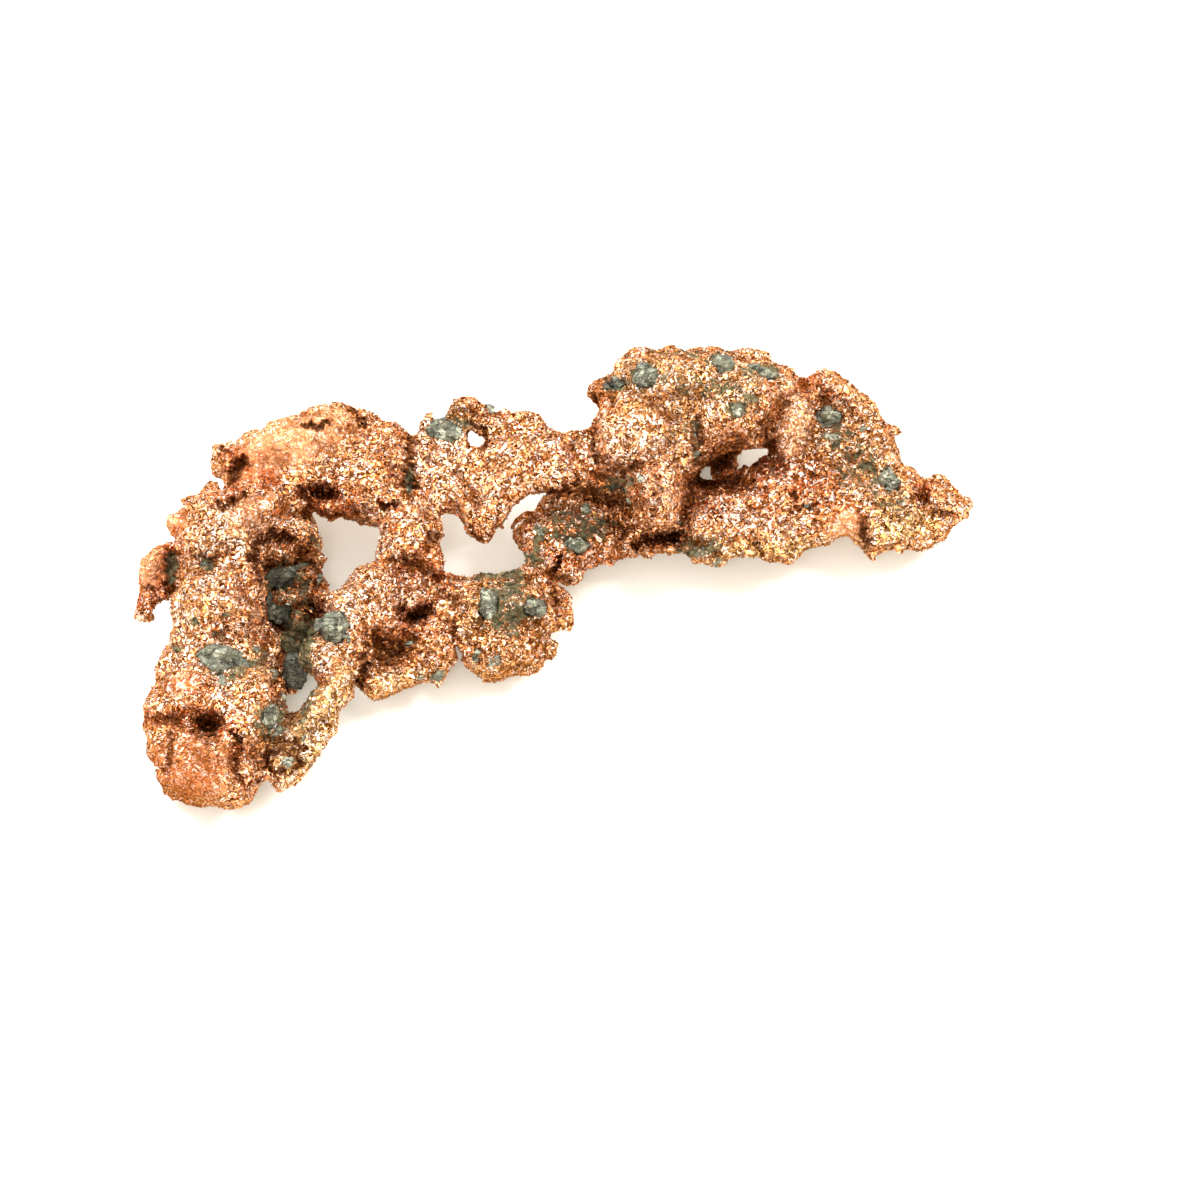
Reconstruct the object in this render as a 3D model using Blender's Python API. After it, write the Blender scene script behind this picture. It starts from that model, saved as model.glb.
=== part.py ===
"""A native copper nugget: one holed, lumpy mass of metal that grips grains of its grey-green matrix rock.

Run with: blender --background --python part.py

The metal is laid out on its show plane, which leans back from the table by SHOW_TILT. `across` runs along
+X, `up` climbs the show plane, and `height` is above the table, all in millimetres. Broad plates give the
metal its outline and holes, lumps crown them, and pits hollow them. A voxel remesh fuses these into one
body, a displacement roughens it, and a decimation leaves flat facets. The rock grains sit in pockets cut to
their shape, and the underside is cut flat where it rests.
"""

import math
import random
from typing import NamedTuple

import bmesh
import bpy
import numpy as np
from mathutils import Matrix, Vector
from mathutils.bvhtree import BVHTree

MM = 0.001
SHOW_TILT = math.radians(55.0)
SIN_TILT = math.sin(SHOW_TILT)
COS_TILT = math.cos(SHOW_TILT)
ACROSS = Vector((1.0, 0.0, 0.0))
UP = Vector((0.0, SIN_TILT, COS_TILT))
TOWARD = Vector((0.0, -COS_TILT, SIN_TILT))

PLATE_VOXEL = 0.7  # mm, the grain of each plate before it is crowned
FUSE_VOXEL = 0.5 * MM
FINE_VOXEL = 0.35 * MM
LUMP_DETAIL = 3  # icosphere subdivisions
COPPER_TRIANGLES = 7500  # before the pockets are cut
SWELL_SIZE, SWELL_DEPTH = 4.5 * MM, 1.3 * MM  # broad unevenness of the metal
KNOB_SIZE, KNOB_DEPTH = 2.6 * MM, 1.5 * MM  # knobs with creases between them
PIT_GRAIN_SIZE, PIT_GRAIN_DEPTH = 1.2 * MM, 1.0 * MM  # ragged walls of the pits and windows
TABLE_BLOCK = 0.2  # m, side of the block that planes the feet flat

GRAIN_POINTS = 30
GRAIN_ROUGHNESS = 0.16  # share by which a grain's corners draw in
POCKET_GAP = 0.45  # mm added to a grain's radii for its pocket, which leaves about 0.3 mm clear

COPPER_FINISH = ((0.72, 0.36, 0.22, 1.0), 0.38, 1.0)  # colour, roughness, metallic
ROCK_FINISH = ((0.16, 0.19, 0.16, 1.0), 0.55, 0.0)


class Plate(NamedTuple):
    """A crowned slab: its outline on the show plane, and where its middle surface runs above the table."""

    outline: list
    middle: tuple  # (across, up, height) of a point on the middle surface
    rise: tuple  # height gained for each mm across, and for each mm up
    thickness: float
    rim: float  # thickness left at the outline
    crown: float  # how far in from the outline the full thickness is reached


class Lump(NamedTuple):
    """An ellipsoid: its centre, its radii along across, up and toward the viewer, and its turn in degrees."""

    across: float
    up: float
    height: float
    radii: tuple
    turn: float = 0.0


class Pit(NamedTuple):
    """A hollow that starts at the visible surface at (across, up), sunk by `sink` mm."""

    across: float
    up: float
    radii: tuple
    turn: float = 0.0
    sink: float = 0.3


class Grain(NamedTuple):
    """A broken grain of matrix rock set in the visible surface at (across, up), sunk by `sink` mm."""

    name: str
    across: float
    up: float
    radii: tuple
    turn: float = 0.0
    sink: float = 0.35


LIMB = Plate(
    [
        (-38.6, 28.4), (-37.3, 30.0), (-35.6, 31.6), (-34.0, 32.6), (-30.0, 33.5), (-26.8, 32.6),
        (-26.4, 30.6), (-27.8, 28.6), (-28.8, 25.0), (-29.2, 20.0), (-28.9, 16.0), (-28.4, 12.0),
        (-27.6, 9.0), (-30.5, 5.5), (-29.8, 2.8), (-30.7, 1.1), (-32.2, 0.2),
        (-35.5, 0.9), (-38.4, 1.8), (-39.6, 2.9), (-39.0, 4.4), (-40.2, 6.0), (-40.0, 7.6),
        (-41.0, 8.3), (-41.1, 10.6), (-40.0, 11.8), (-39.3, 13.5), (-38.1, 17.0), (-37.8, 20.4),
        (-37.2, 22.5), (-37.6, 26.6),
    ],
    middle=(-34.0, 16.0, 6.6), rise=(0.05, 0.11), thickness=9.8, rim=2.0, crown=3.4,
)
FLANK = Plate(
    [
        (-31.5, 30.0), (-26.0, 31.2), (-24.2, 29.0), (-23.4, 26.5), (-23.0, 24.3), (-22.9, 22.0),
        (-23.2, 18.0), (-24.6, 15.0), (-25.4, 13.0), (-26.0, 11.0), (-27.0, 8.0), (-31.0, 7.0),
    ],
    middle=(-27.0, 18.0, 4.2), rise=(-0.1, 0.08), thickness=5.4, rim=1.2, crown=2.6,
)
TAIL = Plate(
    [
        (-41.7, 22.0), (-41.2, 24.4), (-40.2, 25.9), (-39.0, 26.4), (-38.0, 26.1), (-36.5, 25.0),
        (-36.5, 21.0), (-38.5, 20.9), (-39.8, 20.3), (-40.2, 19.5), (-40.1, 18.5), (-41.4, 18.4),
        (-42.2, 19.3), (-41.9, 20.5), (-41.3, 21.0),
    ],
    middle=(-39.0, 22.0, 5.5), rise=(0.35, 0.15), thickness=3.4, rim=1.2, crown=1.5,
)
CREST = Plate(
    [
        (-34.0, 35.6), (-33.8, 36.3), (-31.2, 36.6), (-30.0, 37.1), (-26.0, 38.8), (-23.0, 40.2),
        (-20.8, 40.3), (-20.0, 39.6), (-19.7, 38.5), (-19.0, 39.5), (-16.6, 38.3), (-15.0, 37.2),
        (-14.4, 35.0), (-13.8, 31.5), (-14.5, 28.5), (-17.2, 27.2), (-18.6, 28.0), (-20.2, 28.8),
        (-23.0, 29.0), (-24.5, 30.1), (-28.0, 28.5), (-31.0, 29.5), (-33.2, 31.6), (-33.0, 33.2),
    ],
    middle=(-24.0, 34.0, 8.0), rise=(0.02, 0.10), thickness=7.5, rim=1.4, crown=4.0,
)
NECK = Plate(
    [
        (-18.5, 31.5), (-14.0, 33.0), (-11.6, 30.0), (-11.1, 28.0), (-11.2, 25.2), (-11.6, 22.8),
        (-13.5, 22.4), (-15.2, 24.2), (-17.0, 24.4), (-17.9, 25.3), (-17.4, 26.5), (-18.4, 28.5),
    ],
    middle=(-14.5, 27.0, 8.4), rise=(0.0, 0.0), thickness=4.4, rim=1.1, crown=1.9,
)
SHEET = Plate(
    [
        (-14.1, 37.0), (-13.8, 38.3), (-12.8, 39.2), (-11.6, 38.9), (-11.0, 39.8), (-10.0, 40.8),
        (-8.8, 41.3), (-7.4, 40.4), (-5.8, 39.5), (-5.1, 39.9), (-4.3, 39.2), (-3.7, 39.7),
        (-2.6, 39.8), (-1.8, 39.2), (-1.0, 38.2), (1.0, 37.6), (3.2, 38.2), (4.2, 38.9),
        (8.0, 38.0), (8.0, 33.0), (3.5, 32.3), (1.5, 31.8), (-1.0, 31.4), (-2.4, 31.2),
        (-3.7, 30.3), (-4.6, 29.7), (-5.2, 28.8), (-5.7, 27.6), (-6.3, 26.7), (-7.0, 26.4),
        (-7.8, 26.5), (-8.3, 27.2), (-9.2, 28.3), (-10.3, 29.2), (-12.0, 30.2), (-13.9, 30.8),
        (-14.6, 34.0),
    ],
    middle=(-5.0, 33.0, 9.2), rise=(0.0, 0.26), thickness=2.9, rim=0.9, crown=2.0,
)
HUMP = Plate(
    [
        (4.2, 34.2), (3.9, 36.0), (4.3, 38.4), (5.0, 39.6), (3.9, 40.4), (3.2, 41.5),
        (3.7, 42.7), (5.2, 43.4), (6.2, 44.8), (7.4, 45.5), (9.2, 45.7), (14.5, 46.0),
        (20.0, 45.6), (21.6, 44.9), (22.6, 44.0), (24.7, 43.3), (23.6, 41.2), (21.9, 39.0),
        (21.3, 37.4), (21.4, 36.2), (20.0, 35.8), (18.5, 36.2), (16.6, 35.4), (14.6, 34.4),
        (13.5, 33.0), (13.3, 31.5), (12.7, 30.0), (12.4, 28.8), (11.0, 28.1), (9.4, 27.8),
        (8.2, 28.4), (7.7, 29.6), (7.9, 30.6), (7.1, 31.5), (6.9, 33.0), (5.6, 33.5),
    ],
    middle=(13.0, 38.0, 10.5), rise=(0.0, 0.12), thickness=10.5, rim=2.2, crown=4.2,
)
FIN = Plate(
    [
        (24.6, 43.2), (26.7, 44.1), (28.9, 43.3), (30.3, 42.3), (31.2, 40.9), (31.8, 39.8),
        (32.9, 38.9), (34.3, 37.9), (33.5, 37.2), (34.3, 36.0), (34.9, 34.8), (35.8, 33.5),
        (37.6, 32.8), (38.3, 33.3), (39.5, 32.9), (39.9, 32.1), (41.0, 31.3), (42.1, 30.7),
        (42.1, 30.1), (41.2, 29.4), (40.2, 28.2), (39.1, 26.8), (37.4, 26.2), (36.3, 26.0),
        (34.6, 25.3), (33.0, 26.1), (32.2, 25.8), (31.7, 24.9), (30.9, 25.7), (29.8, 26.3),
        (28.7, 27.1), (27.9, 26.8), (26.7, 25.6), (24.4, 25.3), (23.5, 24.5), (22.4, 24.8),
        (20.3, 24.9), (19.9, 25.7), (18.5, 25.6), (17.3, 24.9), (16.5, 24.1), (15.8, 24.9),
        (14.0, 24.5), (13.2, 24.9), (12.6, 26.5), (12.4, 29.0), (13.5, 31.2), (14.5, 31.7),
        (16.3, 31.7), (18.5, 33.4), (20.0, 34.4), (21.5, 34.8), (21.9, 37.5), (22.6, 40.5),
    ],
    middle=(25.0, 33.0, 6.6), rise=(-0.12, 0.22), thickness=5.0, rim=1.2, crown=3.0,
)
BAND = Plate(
    [
        (-3.8, 27.5), (-3.2, 29.0), (-1.9, 29.9), (-1.7, 30.9), (-0.5, 31.4), (1.0, 32.6), (3.5, 33.4),
        (9.0, 33.4), (13.5, 30.5), (14.5, 27.5), (13.0, 25.7), (11.0, 25.6), (9.0, 25.3),
        (7.7, 25.6), (7.1, 25.0), (5.5, 24.1), (4.4, 24.3), (2.7, 23.6), (2.3, 22.5),
        (1.1, 22.4), (-0.5, 22.8), (-1.6, 23.6), (-2.8, 24.8), (-3.6, 26.0),
    ],
    middle=(4.0, 27.5, 4.4), rise=(0.0, 0.22), thickness=5.4, rim=1.2, crown=2.4,
)
ARM = Plate(
    [
        (-22.8, 21.6), (-21.2, 22.2), (-20.8, 22.9), (-19.5, 23.7), (-16.5, 24.1), (-14.8, 23.7),
        (-13.5, 23.9), (-12.0, 23.2), (-10.4, 23.6), (-9.8, 22.9), (-8.0, 23.0), (-6.9, 23.3),
        (-5.0, 24.2), (-3.3, 24.6), (-2.0, 24.2), (-0.5, 22.9), (0.8, 21.6), (1.9, 20.8),
        (1.8, 20.0), (1.1, 19.4), (0.8, 18.4), (0.1, 17.8), (-0.5, 17.2), (-0.8, 15.6),
        (-1.7, 14.0), (-3.0, 13.9), (-4.8, 13.3), (-5.5, 12.8), (-7.3, 12.8), (-8.0, 13.6),
        (-8.8, 15.0), (-9.2, 15.6), (-9.4, 17.0), (-10.1, 17.2), (-10.3, 15.6), (-9.9, 14.4),
        (-10.0, 13.0), (-10.6, 12.1), (-11.7, 12.0), (-12.3, 12.9), (-13.5, 12.5), (-15.0, 11.8),
        (-16.4, 11.2), (-17.2, 10.5), (-18.2, 10.3), (-18.9, 11.1), (-19.4, 12.3), (-18.6, 14.0),
        (-18.6, 17.0), (-22.0, 19.0),
    ],
    middle=(-9.0, 18.0, 4.4), rise=(0.0, 0.16), thickness=5.6, rim=1.3, crown=2.6,
)
BAR = Plate(
    [
        (-22.6, 21.4), (-21.0, 22.2), (-19.5, 23.6), (-17.0, 24.0), (-15.4, 23.2), (-14.9, 21.5),
        (-15.4, 19.0), (-16.4, 17.8), (-17.9, 17.2), (-18.4, 15.5), (-18.9, 14.4), (-20.1, 12.5),
        (-20.9, 11.0), (-21.2, 9.4), (-21.8, 7.9), (-22.7, 6.4), (-23.2, 5.3), (-23.4, 3.6),
        (-25.2, 3.3), (-26.2, 2.1), (-27.4, 1.9), (-27.7, 3.0), (-28.6, 3.3), (-30.5, 3.2),
        (-31.5, 5.0), (-29.5, 7.2), (-26.8, 8.8), (-25.2, 10.2), (-24.0, 11.6), (-23.7, 12.8),
        (-24.4, 13.4), (-25.2, 14.5), (-25.4, 15.4), (-24.6, 16.3), (-23.4, 17.8), (-23.0, 19.4),
    ],
    middle=(-21.0, 14.0, 6.4), rise=(0.0, 0.24), thickness=3.6, rim=1.1, crown=1.7,
)
PLATES = (LIMB, FLANK, TAIL, CREST, NECK, SHEET, HUMP, FIN, BAND, ARM, BAR)

LIMB_LUMPS = (
    Lump(-33.4, 26.4, 9.2, (4.4, 5.8, 4.4)),
    Lump(-33.8, 17.0, 8.2, (4.6, 7.0, 4.6)),
    Lump(-37.2, 28.3, 8.0, (1.7, 1.7, 2.2)),
    Lump(-34.5, 31.6, 8.5, (0.8, 1.4, 1.2), 12.0),
    Lump(-36.6, 24.3, 8.0, (1.8, 1.3, 2.4)),
    Lump(-30.5, 29.0, 3.3, (4.2, 3.6, 3.8)),
    Lump(-30.5, 11.8, 7.6, (3.2, 2.7, 4.2)),
    Lump(-35.4, 4.0, 4.0, (4.1, 3.5, 4.4)),
    Lump(-35.6, 7.3, 5.6, (2.8, 1.7, 3.2)),
    Lump(-39.6, 10.0, 5.2, (1.4, 1.8, 1.8)),
    Lump(-39.0, 6.4, 4.8, (1.3, 1.8, 1.8)),
    Lump(-30.6, 2.1, 3.0, (1.4, 1.0, 1.6)),
    Lump(-26.6, 26.6, 6.8, (2.9, 2.4, 2.8)),
    Lump(-25.6, 21.6, 4.8, (2.2, 1.8, 2.2)),
    Lump(-23.4, 18.6, 4.6, (1.8, 3.4, 1.8)),
)
TAIL_LUMPS = (
    Lump(-40.0, 23.7, 5.8, (1.6, 2.4, 2.0), -15.0),
    Lump(-41.1, 19.4, 4.8, (1.0, 1.0, 1.1)),
)
CREST_LUMPS = (
    Lump(-27.0, 36.0, 9.6, (5.5, 2.7, 3.8), 22.0),
    Lump(-22.6, 38.2, 9.6, (3.0, 2.0, 3.2), 12.0),
    Lump(-17.4, 36.3, 9.0, (2.9, 2.3, 3.4)),
    Lump(-33.2, 35.3, 8.4, (1.2, 1.3, 1.8)),
    Lump(-19.0, 33.2, 9.2, (4.4, 2.6, 3.6)),
    Lump(-22.2, 30.1, 7.2, (2.4, 0.9, 1.6), -10.0),
)
NECK_LUMPS = (
    Lump(-14.6, 29.2, 9.2, (2.4, 2.6, 2.4)),
    Lump(-12.9, 26.0, 8.6, (1.6, 1.6, 2.0)),
    Lump(-16.3, 25.7, 8.2, (1.4, 1.1, 1.4)),
)
SHEET_LUMPS = (
    Lump(-12.7, 38.0, 10.6, (1.2, 1.1, 1.6)),
    Lump(-9.3, 40.0, 11.0, (2.0, 1.2, 1.8), -20.0),
    Lump(-2.6, 38.3, 10.8, (1.8, 1.5, 1.6)),
    Lump(-11.4, 33.6, 9.8, (2.4, 2.8, 1.8)),
    Lump(-10.4, 30.8, 8.8, (1.7, 1.1, 1.1), -30.0),
    Lump(-7.0, 28.2, 8.0, (1.2, 1.7, 1.1)),
    Lump(-4.0, 34.8, 10.0, (3.8, 2.8, 1.7)),
    Lump(1.0, 34.0, 9.6, (3.0, 1.8, 1.8)),
)
HUMP_LUMPS = (
    Lump(7.6, 37.4, 13.0, (3.6, 4.2, 4.0)),
    Lump(13.0, 42.4, 13.4, (7.0, 3.4, 4.6)),
    Lump(18.2, 40.0, 13.2, (4.0, 4.0, 4.2)),
    Lump(10.2, 31.8, 10.6, (2.8, 3.6, 3.6)),
    Lump(4.6, 41.7, 11.0, (1.4, 1.5, 1.7)),
    Lump(8.0, 44.0, 12.2, (2.3, 1.8, 2.6)),
    Lump(13.5, 38.5, 5.0, (6.5, 5.0, 5.8)),
    Lump(17.8, 34.6, 4.6, (4.8, 2.6, 2.2), 15.0),
)
FIN_LUMPS = (
    Lump(23.8, 38.3, 9.4, (1.9, 3.8, 2.4), -12.0),
    Lump(27.3, 42.2, 9.6, (2.3, 1.6, 2.4)),
    Lump(30.2, 40.0, 8.6, (2.3, 2.2, 2.2)),
    Lump(31.3, 36.0, 7.4, (2.8, 2.4, 2.2)),
    Lump(23.6, 27.2, 5.6, (4.4, 1.3, 2.0), 4.0),
    Lump(15.2, 28.6, 5.8, (2.4, 2.6, 2.4)),
    Lump(19.0, 30.2, 7.0, (4.4, 2.2, 2.4)),
    Lump(33.8, 28.4, 5.6, (2.5, 2.0, 2.0)),
    Lump(38.8, 30.4, 4.4, (2.6, 1.9, 1.6)),
    Lump(33.6, 37.8, 7.2, (1.2, 0.7, 0.9), -30.0),
    Lump(16.5, 25.3, 3.6, (0.9, 1.2, 1.3)),
    Lump(14.0, 25.5, 3.6, (0.9, 1.0, 1.3)),
    Lump(23.5, 25.6, 3.8, (1.2, 1.0, 1.4)),
    Lump(31.8, 25.8, 3.8, (0.8, 0.9, 1.0)),
    Lump(34.5, 30.5, 2.0, (3.0, 2.4, 2.7)),
)
BAND_LUMPS = (
    Lump(1.5, 27.6, 4.9, (3.4, 2.5, 2.9)),
    Lump(6.4, 27.0, 4.4, (2.8, 2.2, 2.6)),
    Lump(1.4, 23.7, 3.6, (1.4, 1.4, 1.7)),
    Lump(10.8, 26.6, 3.8, (2.0, 1.0, 1.8)),
)
ARM_LUMPS = (
    Lump(-3.5, 18.6, 5.2, (3.2, 3.8, 3.2)),
    Lump(-8.5, 20.2, 5.8, (2.1, 2.2, 2.6)),
    Lump(-13.8, 21.4, 6.2, (1.5, 1.6, 2.2)),
    Lump(-12.0, 15.6, 4.8, (2.2, 2.4, 2.4)),
    Lump(-16.9, 12.7, 4.2, (2.0, 1.9, 2.2)),
    Lump(-5.5, 14.6, 3.8, (2.7, 1.6, 2.2)),
    Lump(0.7, 19.9, 4.0, (1.0, 1.7, 1.6)),
    Lump(-4.2, 16.4, 2.1, (3.0, 2.4, 2.8)),
)
BAR_LUMPS = (
    Lump(-17.6, 21.4, 8.6, (2.2, 2.4, 1.6)),
    Lump(-22.7, 14.9, 7.0, (2.3, 1.8, 1.8)),
    Lump(-22.8, 9.2, 5.6, (1.1, 4.4, 1.3), -33.0),
    Lump(-26.4, 4.2, 4.0, (2.2, 1.5, 1.8)),
)
LUMPS = (
    LIMB_LUMPS + TAIL_LUMPS + CREST_LUMPS + NECK_LUMPS + SHEET_LUMPS
    + HUMP_LUMPS + FIN_LUMPS + BAND_LUMPS + ARM_LUMPS + BAR_LUMPS
)  # fmt: skip

PITS = (
    Pit(-34.3, 8.6, (1.6, 1.2, 2.2)),
    Pit(-38.4, 9.1, (2.6, 0.6, 1.2), -4.0),
    Pit(-31.8, 5.2, (0.5, 2.6, 0.9), -8.0),
    Pit(-31.8, 34.5, (1.3, 1.0, 1.5)),
    Pit(-23.4, 31.6, (1.8, 0.9, 2.0), -8.0, 0.8),
    Pit(-14.4, 32.6, (0.5, 2.0, 1.0), 12.0),
    Pit(-16.5, 30.3, (0.9, 0.4, 0.8)),
    Pit(-8.0, 31.0, (0.6, 2.6, 0.7), 32.0),
    Pit(-14.3, 19.2, (1.2, 0.7, 1.8), 0.0, 0.8),
    Pit(-16.6, 16.2, (1.9, 1.1, 1.4)),
    Pit(-27.6, 22.4, (2.0, 1.8, 1.3)),
    Pit(-27.4, 18.8, (1.6, 1.8, 1.3)),
    Pit(-26.0, 13.0, (1.4, 3.2, 1.3), -6.0),
    Pit(14.4, 37.2, (0.7, 2.4, 1.3), 6.0),
    Pit(17.4, 34.5, (4.2, 1.5, 3.4), 22.0, 1.4),
    Pit(22.0, 39.8, (0.6, 2.6, 1.2), -30.0),
    Pit(12.0, 27.0, (1.4, 0.7, 1.6)),
    Pit(37.0, 31.2, (0.6, 1.1, 0.8), 10.0),
    Pit(31.0, 27.4, (0.7, 1.5, 0.9)),
    Pit(24.1, 31.2, (0.6, 0.5, 0.8)),
    Pit(-34.6, 24.5, (1.0, 0.8, 1.2)),
)

SHEET_WINDOW = [(-9.0, 36.7), (-8.8, 37.8), (-7.9, 37.6), (-6.9, 37.1), (-7.2, 36.2), (-8.2, 36.2)]
ARCH_WINDOW = [(-25.1, 11.2), (-25.0, 13.0), (-24.3, 13.2), (-23.9, 12.2), (-24.4, 11.0)]
CAVE_WINDOW_LEFT = [(14.2, 33.2), (14.5, 34.0), (15.6, 34.7), (16.5, 34.5), (16.0, 33.8), (15.2, 33.3)]
CAVE_WINDOW_RIGHT = [
    (17.9, 34.7), (18.3, 35.6), (19.6, 35.9), (20.8, 36.1), (21.9, 36.4), (21.7, 35.3), (20.4, 34.8),
]  # fmt: skip
CREST_NOTCH = [(-36.5, 33.7), (-34.0, 33.6), (-33.0, 33.3), (-32.8, 32.6), (-34.4, 32.6), (-36.5, 33.1)]
WINDOWS = (SHEET_WINDOW, ARCH_WINDOW, CAVE_WINDOW_LEFT, CAVE_WINDOW_RIGHT, CREST_NOTCH)

GRAINS = (
    Grain("matrix_limb_oval", -33.6, 14.9, (2.1, 1.4, 1.0), 12.0),
    Grain("matrix_limb_foot", -28.4, 9.5, (1.1, 1.1, 0.9)),
    Grain("matrix_flank_upper", -27.3, 23.2, (1.9, 1.3, 1.3), -8.0),
    Grain("matrix_flank_middle", -27.8, 19.8, (1.6, 1.2, 1.2)),
    Grain("matrix_flank_lower", -26.2, 14.0, (1.4, 2.1, 1.2), 8.0),
    Grain("matrix_bar_top", -22.0, 18.1, (1.5, 1.5, 1.0)),
    Grain("matrix_sheet_rim", -11.2, 37.8, (2.0, 1.2, 0.9), -14.0),
    Grain("matrix_hump_oval", 9.1, 43.2, (1.5, 1.2, 1.0)),
    Grain("matrix_hump_left", 6.2, 42.3, (1.2, 0.8, 0.9)),
    Grain("matrix_hump_crest", 16.7, 44.5, (1.1, 0.8, 0.8)),
    Grain("matrix_hump_ridge", 20.5, 43.7, (1.9, 0.8, 0.9), -8.0),
    Grain("matrix_fin_heart", 27.5, 39.2, (1.2, 1.0, 1.0)),
    Grain("matrix_fin_low", 33.6, 32.8, (0.8, 1.2, 0.8), 30.0),
    Grain("matrix_arm_dark", -6.7, 20.4, (0.8, 1.4, 0.9)),
    Grain("matrix_arm_knob", -2.0, 20.1, (1.1, 0.9, 0.9)),
    Grain("matrix_band", 2.2, 26.4, (1.1, 0.8, 0.8)),
)


def at(across, up, height, toward=0.0):
    """The point, in metres, at (across, up) on the show plane and at that height, then `toward` the viewer."""
    depth = (up - height * COS_TILT) / SIN_TILT
    return (Vector((across, depth, height)) + TOWARD * toward) * MM


def show_frame(centre, turn, radii):
    """The matrix that stretches a unit ball to `radii` along the show plane's axes, turned in that plane."""
    axes = Matrix((ACROSS, UP, TOWARD)).transposed().to_4x4()
    spin = Matrix.Rotation(math.radians(turn), 4, "Z")
    stretch = Matrix.Diagonal((*(r * MM for r in radii), 1.0))
    return Matrix.Translation(centre) @ axes @ spin @ stretch


def new_object(name, mesh):
    obj = bpy.data.objects.new(name, mesh)
    bpy.context.scene.collection.objects.link(obj)
    return obj


def object_from(name, bm):
    mesh = bpy.data.meshes.new(name)
    bm.to_mesh(mesh)
    bm.free()
    return new_object(name, mesh)


def apply_modifiers(obj):
    """Replaces the object's mesh by its evaluated one, and returns the object."""
    graph = bpy.context.evaluated_depsgraph_get()
    made = bpy.data.meshes.new_from_object(obj.evaluated_get(graph))
    obj.modifiers.clear()
    spent, obj.data = obj.data, made
    bpy.data.meshes.remove(spent)
    return obj


def remove_object(obj):
    mesh = obj.data
    bpy.data.objects.remove(obj)
    bpy.data.meshes.remove(mesh)


def add_remesh(obj, voxel):
    remesh = obj.modifiers.new("Fuse", "REMESH")
    remesh.mode = "VOXEL"
    remesh.voxel_size = voxel


def add_smooth(obj, rounds):
    smooth = obj.modifiers.new("Soften", "SMOOTH")
    smooth.factor = 0.5
    smooth.iterations = rounds


def add_noise(obj, name, kind, size, depth):
    texture = bpy.data.textures.new(name, kind)
    texture.noise_scale = size
    displace = obj.modifiers.new(name, "DISPLACE")
    displace.texture = texture
    displace.texture_coords = "LOCAL"
    displace.mid_level = 0.5
    displace.strength = depth


def prism(outline, low, high):
    """A bmesh of the outline's prism between two levels, in the outline's own units."""
    bm = bmesh.new()
    foot = bm.faces.new([bm.verts.new((across, up, low)) for across, up in outline])
    raised = bmesh.ops.extrude_face_region(bm, geom=[foot])["geom"]
    tops = [v for v in raised if isinstance(v, bmesh.types.BMVert)]
    bmesh.ops.translate(bm, verts=tops, vec=(0.0, 0.0, high - low))
    bmesh.ops.recalc_face_normals(bm, faces=bm.faces)
    return bm


def inset_from(outline, points):
    """Each point's distance in from the outline, as an array."""
    starts = np.array(outline)
    ends = np.roll(starts, -1, axis=0)
    sides = ends - starts
    to_point = points[:, None, :] - starts[None, :, :]
    share = np.clip((to_point * sides).sum(2) / (sides**2).sum(1), 0.0, 1.0)
    nearest = to_point - share[:, :, None] * sides[None, :, :]
    return np.sqrt((nearest**2).sum(2)).min(1)


def add_plate(body, plate):
    """Adds the plate to the body's bmesh: a remeshed prism whose faces swell with distance from the outline."""
    slab = object_from("slab", prism(plate.outline, -1.0, 1.0))
    add_remesh(slab, PLATE_VOXEL)
    apply_modifiers(slab)
    points = np.empty(len(slab.data.vertices) * 3)
    slab.data.vertices.foreach_get("co", points)
    points = points.reshape(-1, 3)
    inset = np.clip(inset_from(plate.outline, points[:, :2]) / plate.crown, 0.0, 1.0)
    half = (plate.rim + (plate.thickness - plate.rim) * np.sqrt(1.0 - (1.0 - inset) ** 2)) / 2.0
    across, up, height = plate.middle
    levels = height + plate.rise[0] * (points[:, 0] - across) + plate.rise[1] * (points[:, 1] - up)
    for vertex, point, level, swell in zip(slab.data.vertices, points, levels, half):
        vertex.co = at(point[0], point[1], level, swell * point[2])
    body.from_mesh(slab.data)
    remove_object(slab)


def add_lump(bm, lump):
    frame = show_frame(at(lump.across, lump.up, lump.height), lump.turn, lump.radii)
    bmesh.ops.create_icosphere(bm, subdivisions=LUMP_DETAIL, radius=1.0, matrix=frame)


def surface_at(tree, across, up):
    """The visible surface's point and normal at (across, up) on the show plane."""
    eye = at(across, up, 0.0, 200.0)
    point, normal, _, _ = tree.ray_cast(eye, -TOWARD)
    return point, normal


def tree_of(obj):
    mesh = obj.data
    return BVHTree.FromPolygons([v.co for v in mesh.vertices], [p.vertices for p in mesh.polygons])


def cut(obj, cutter):
    boolean = obj.modifiers.new("Cut", "BOOLEAN")
    boolean.operation = "DIFFERENCE"
    boolean.solver = "EXACT"
    boolean.object = cutter
    apply_modifiers(obj)
    remove_object(cutter)


def fused_mass():
    """All plates and lumps in one skin."""
    bm = bmesh.new()
    for plate in PLATES:
        add_plate(bm, plate)
    for lump in LUMPS:
        add_lump(bm, lump)
    mass = object_from("copper_nugget", bm)
    add_remesh(mass, FUSE_VOXEL)
    add_smooth(mass, 3)
    return apply_modifiers(mass)


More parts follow.
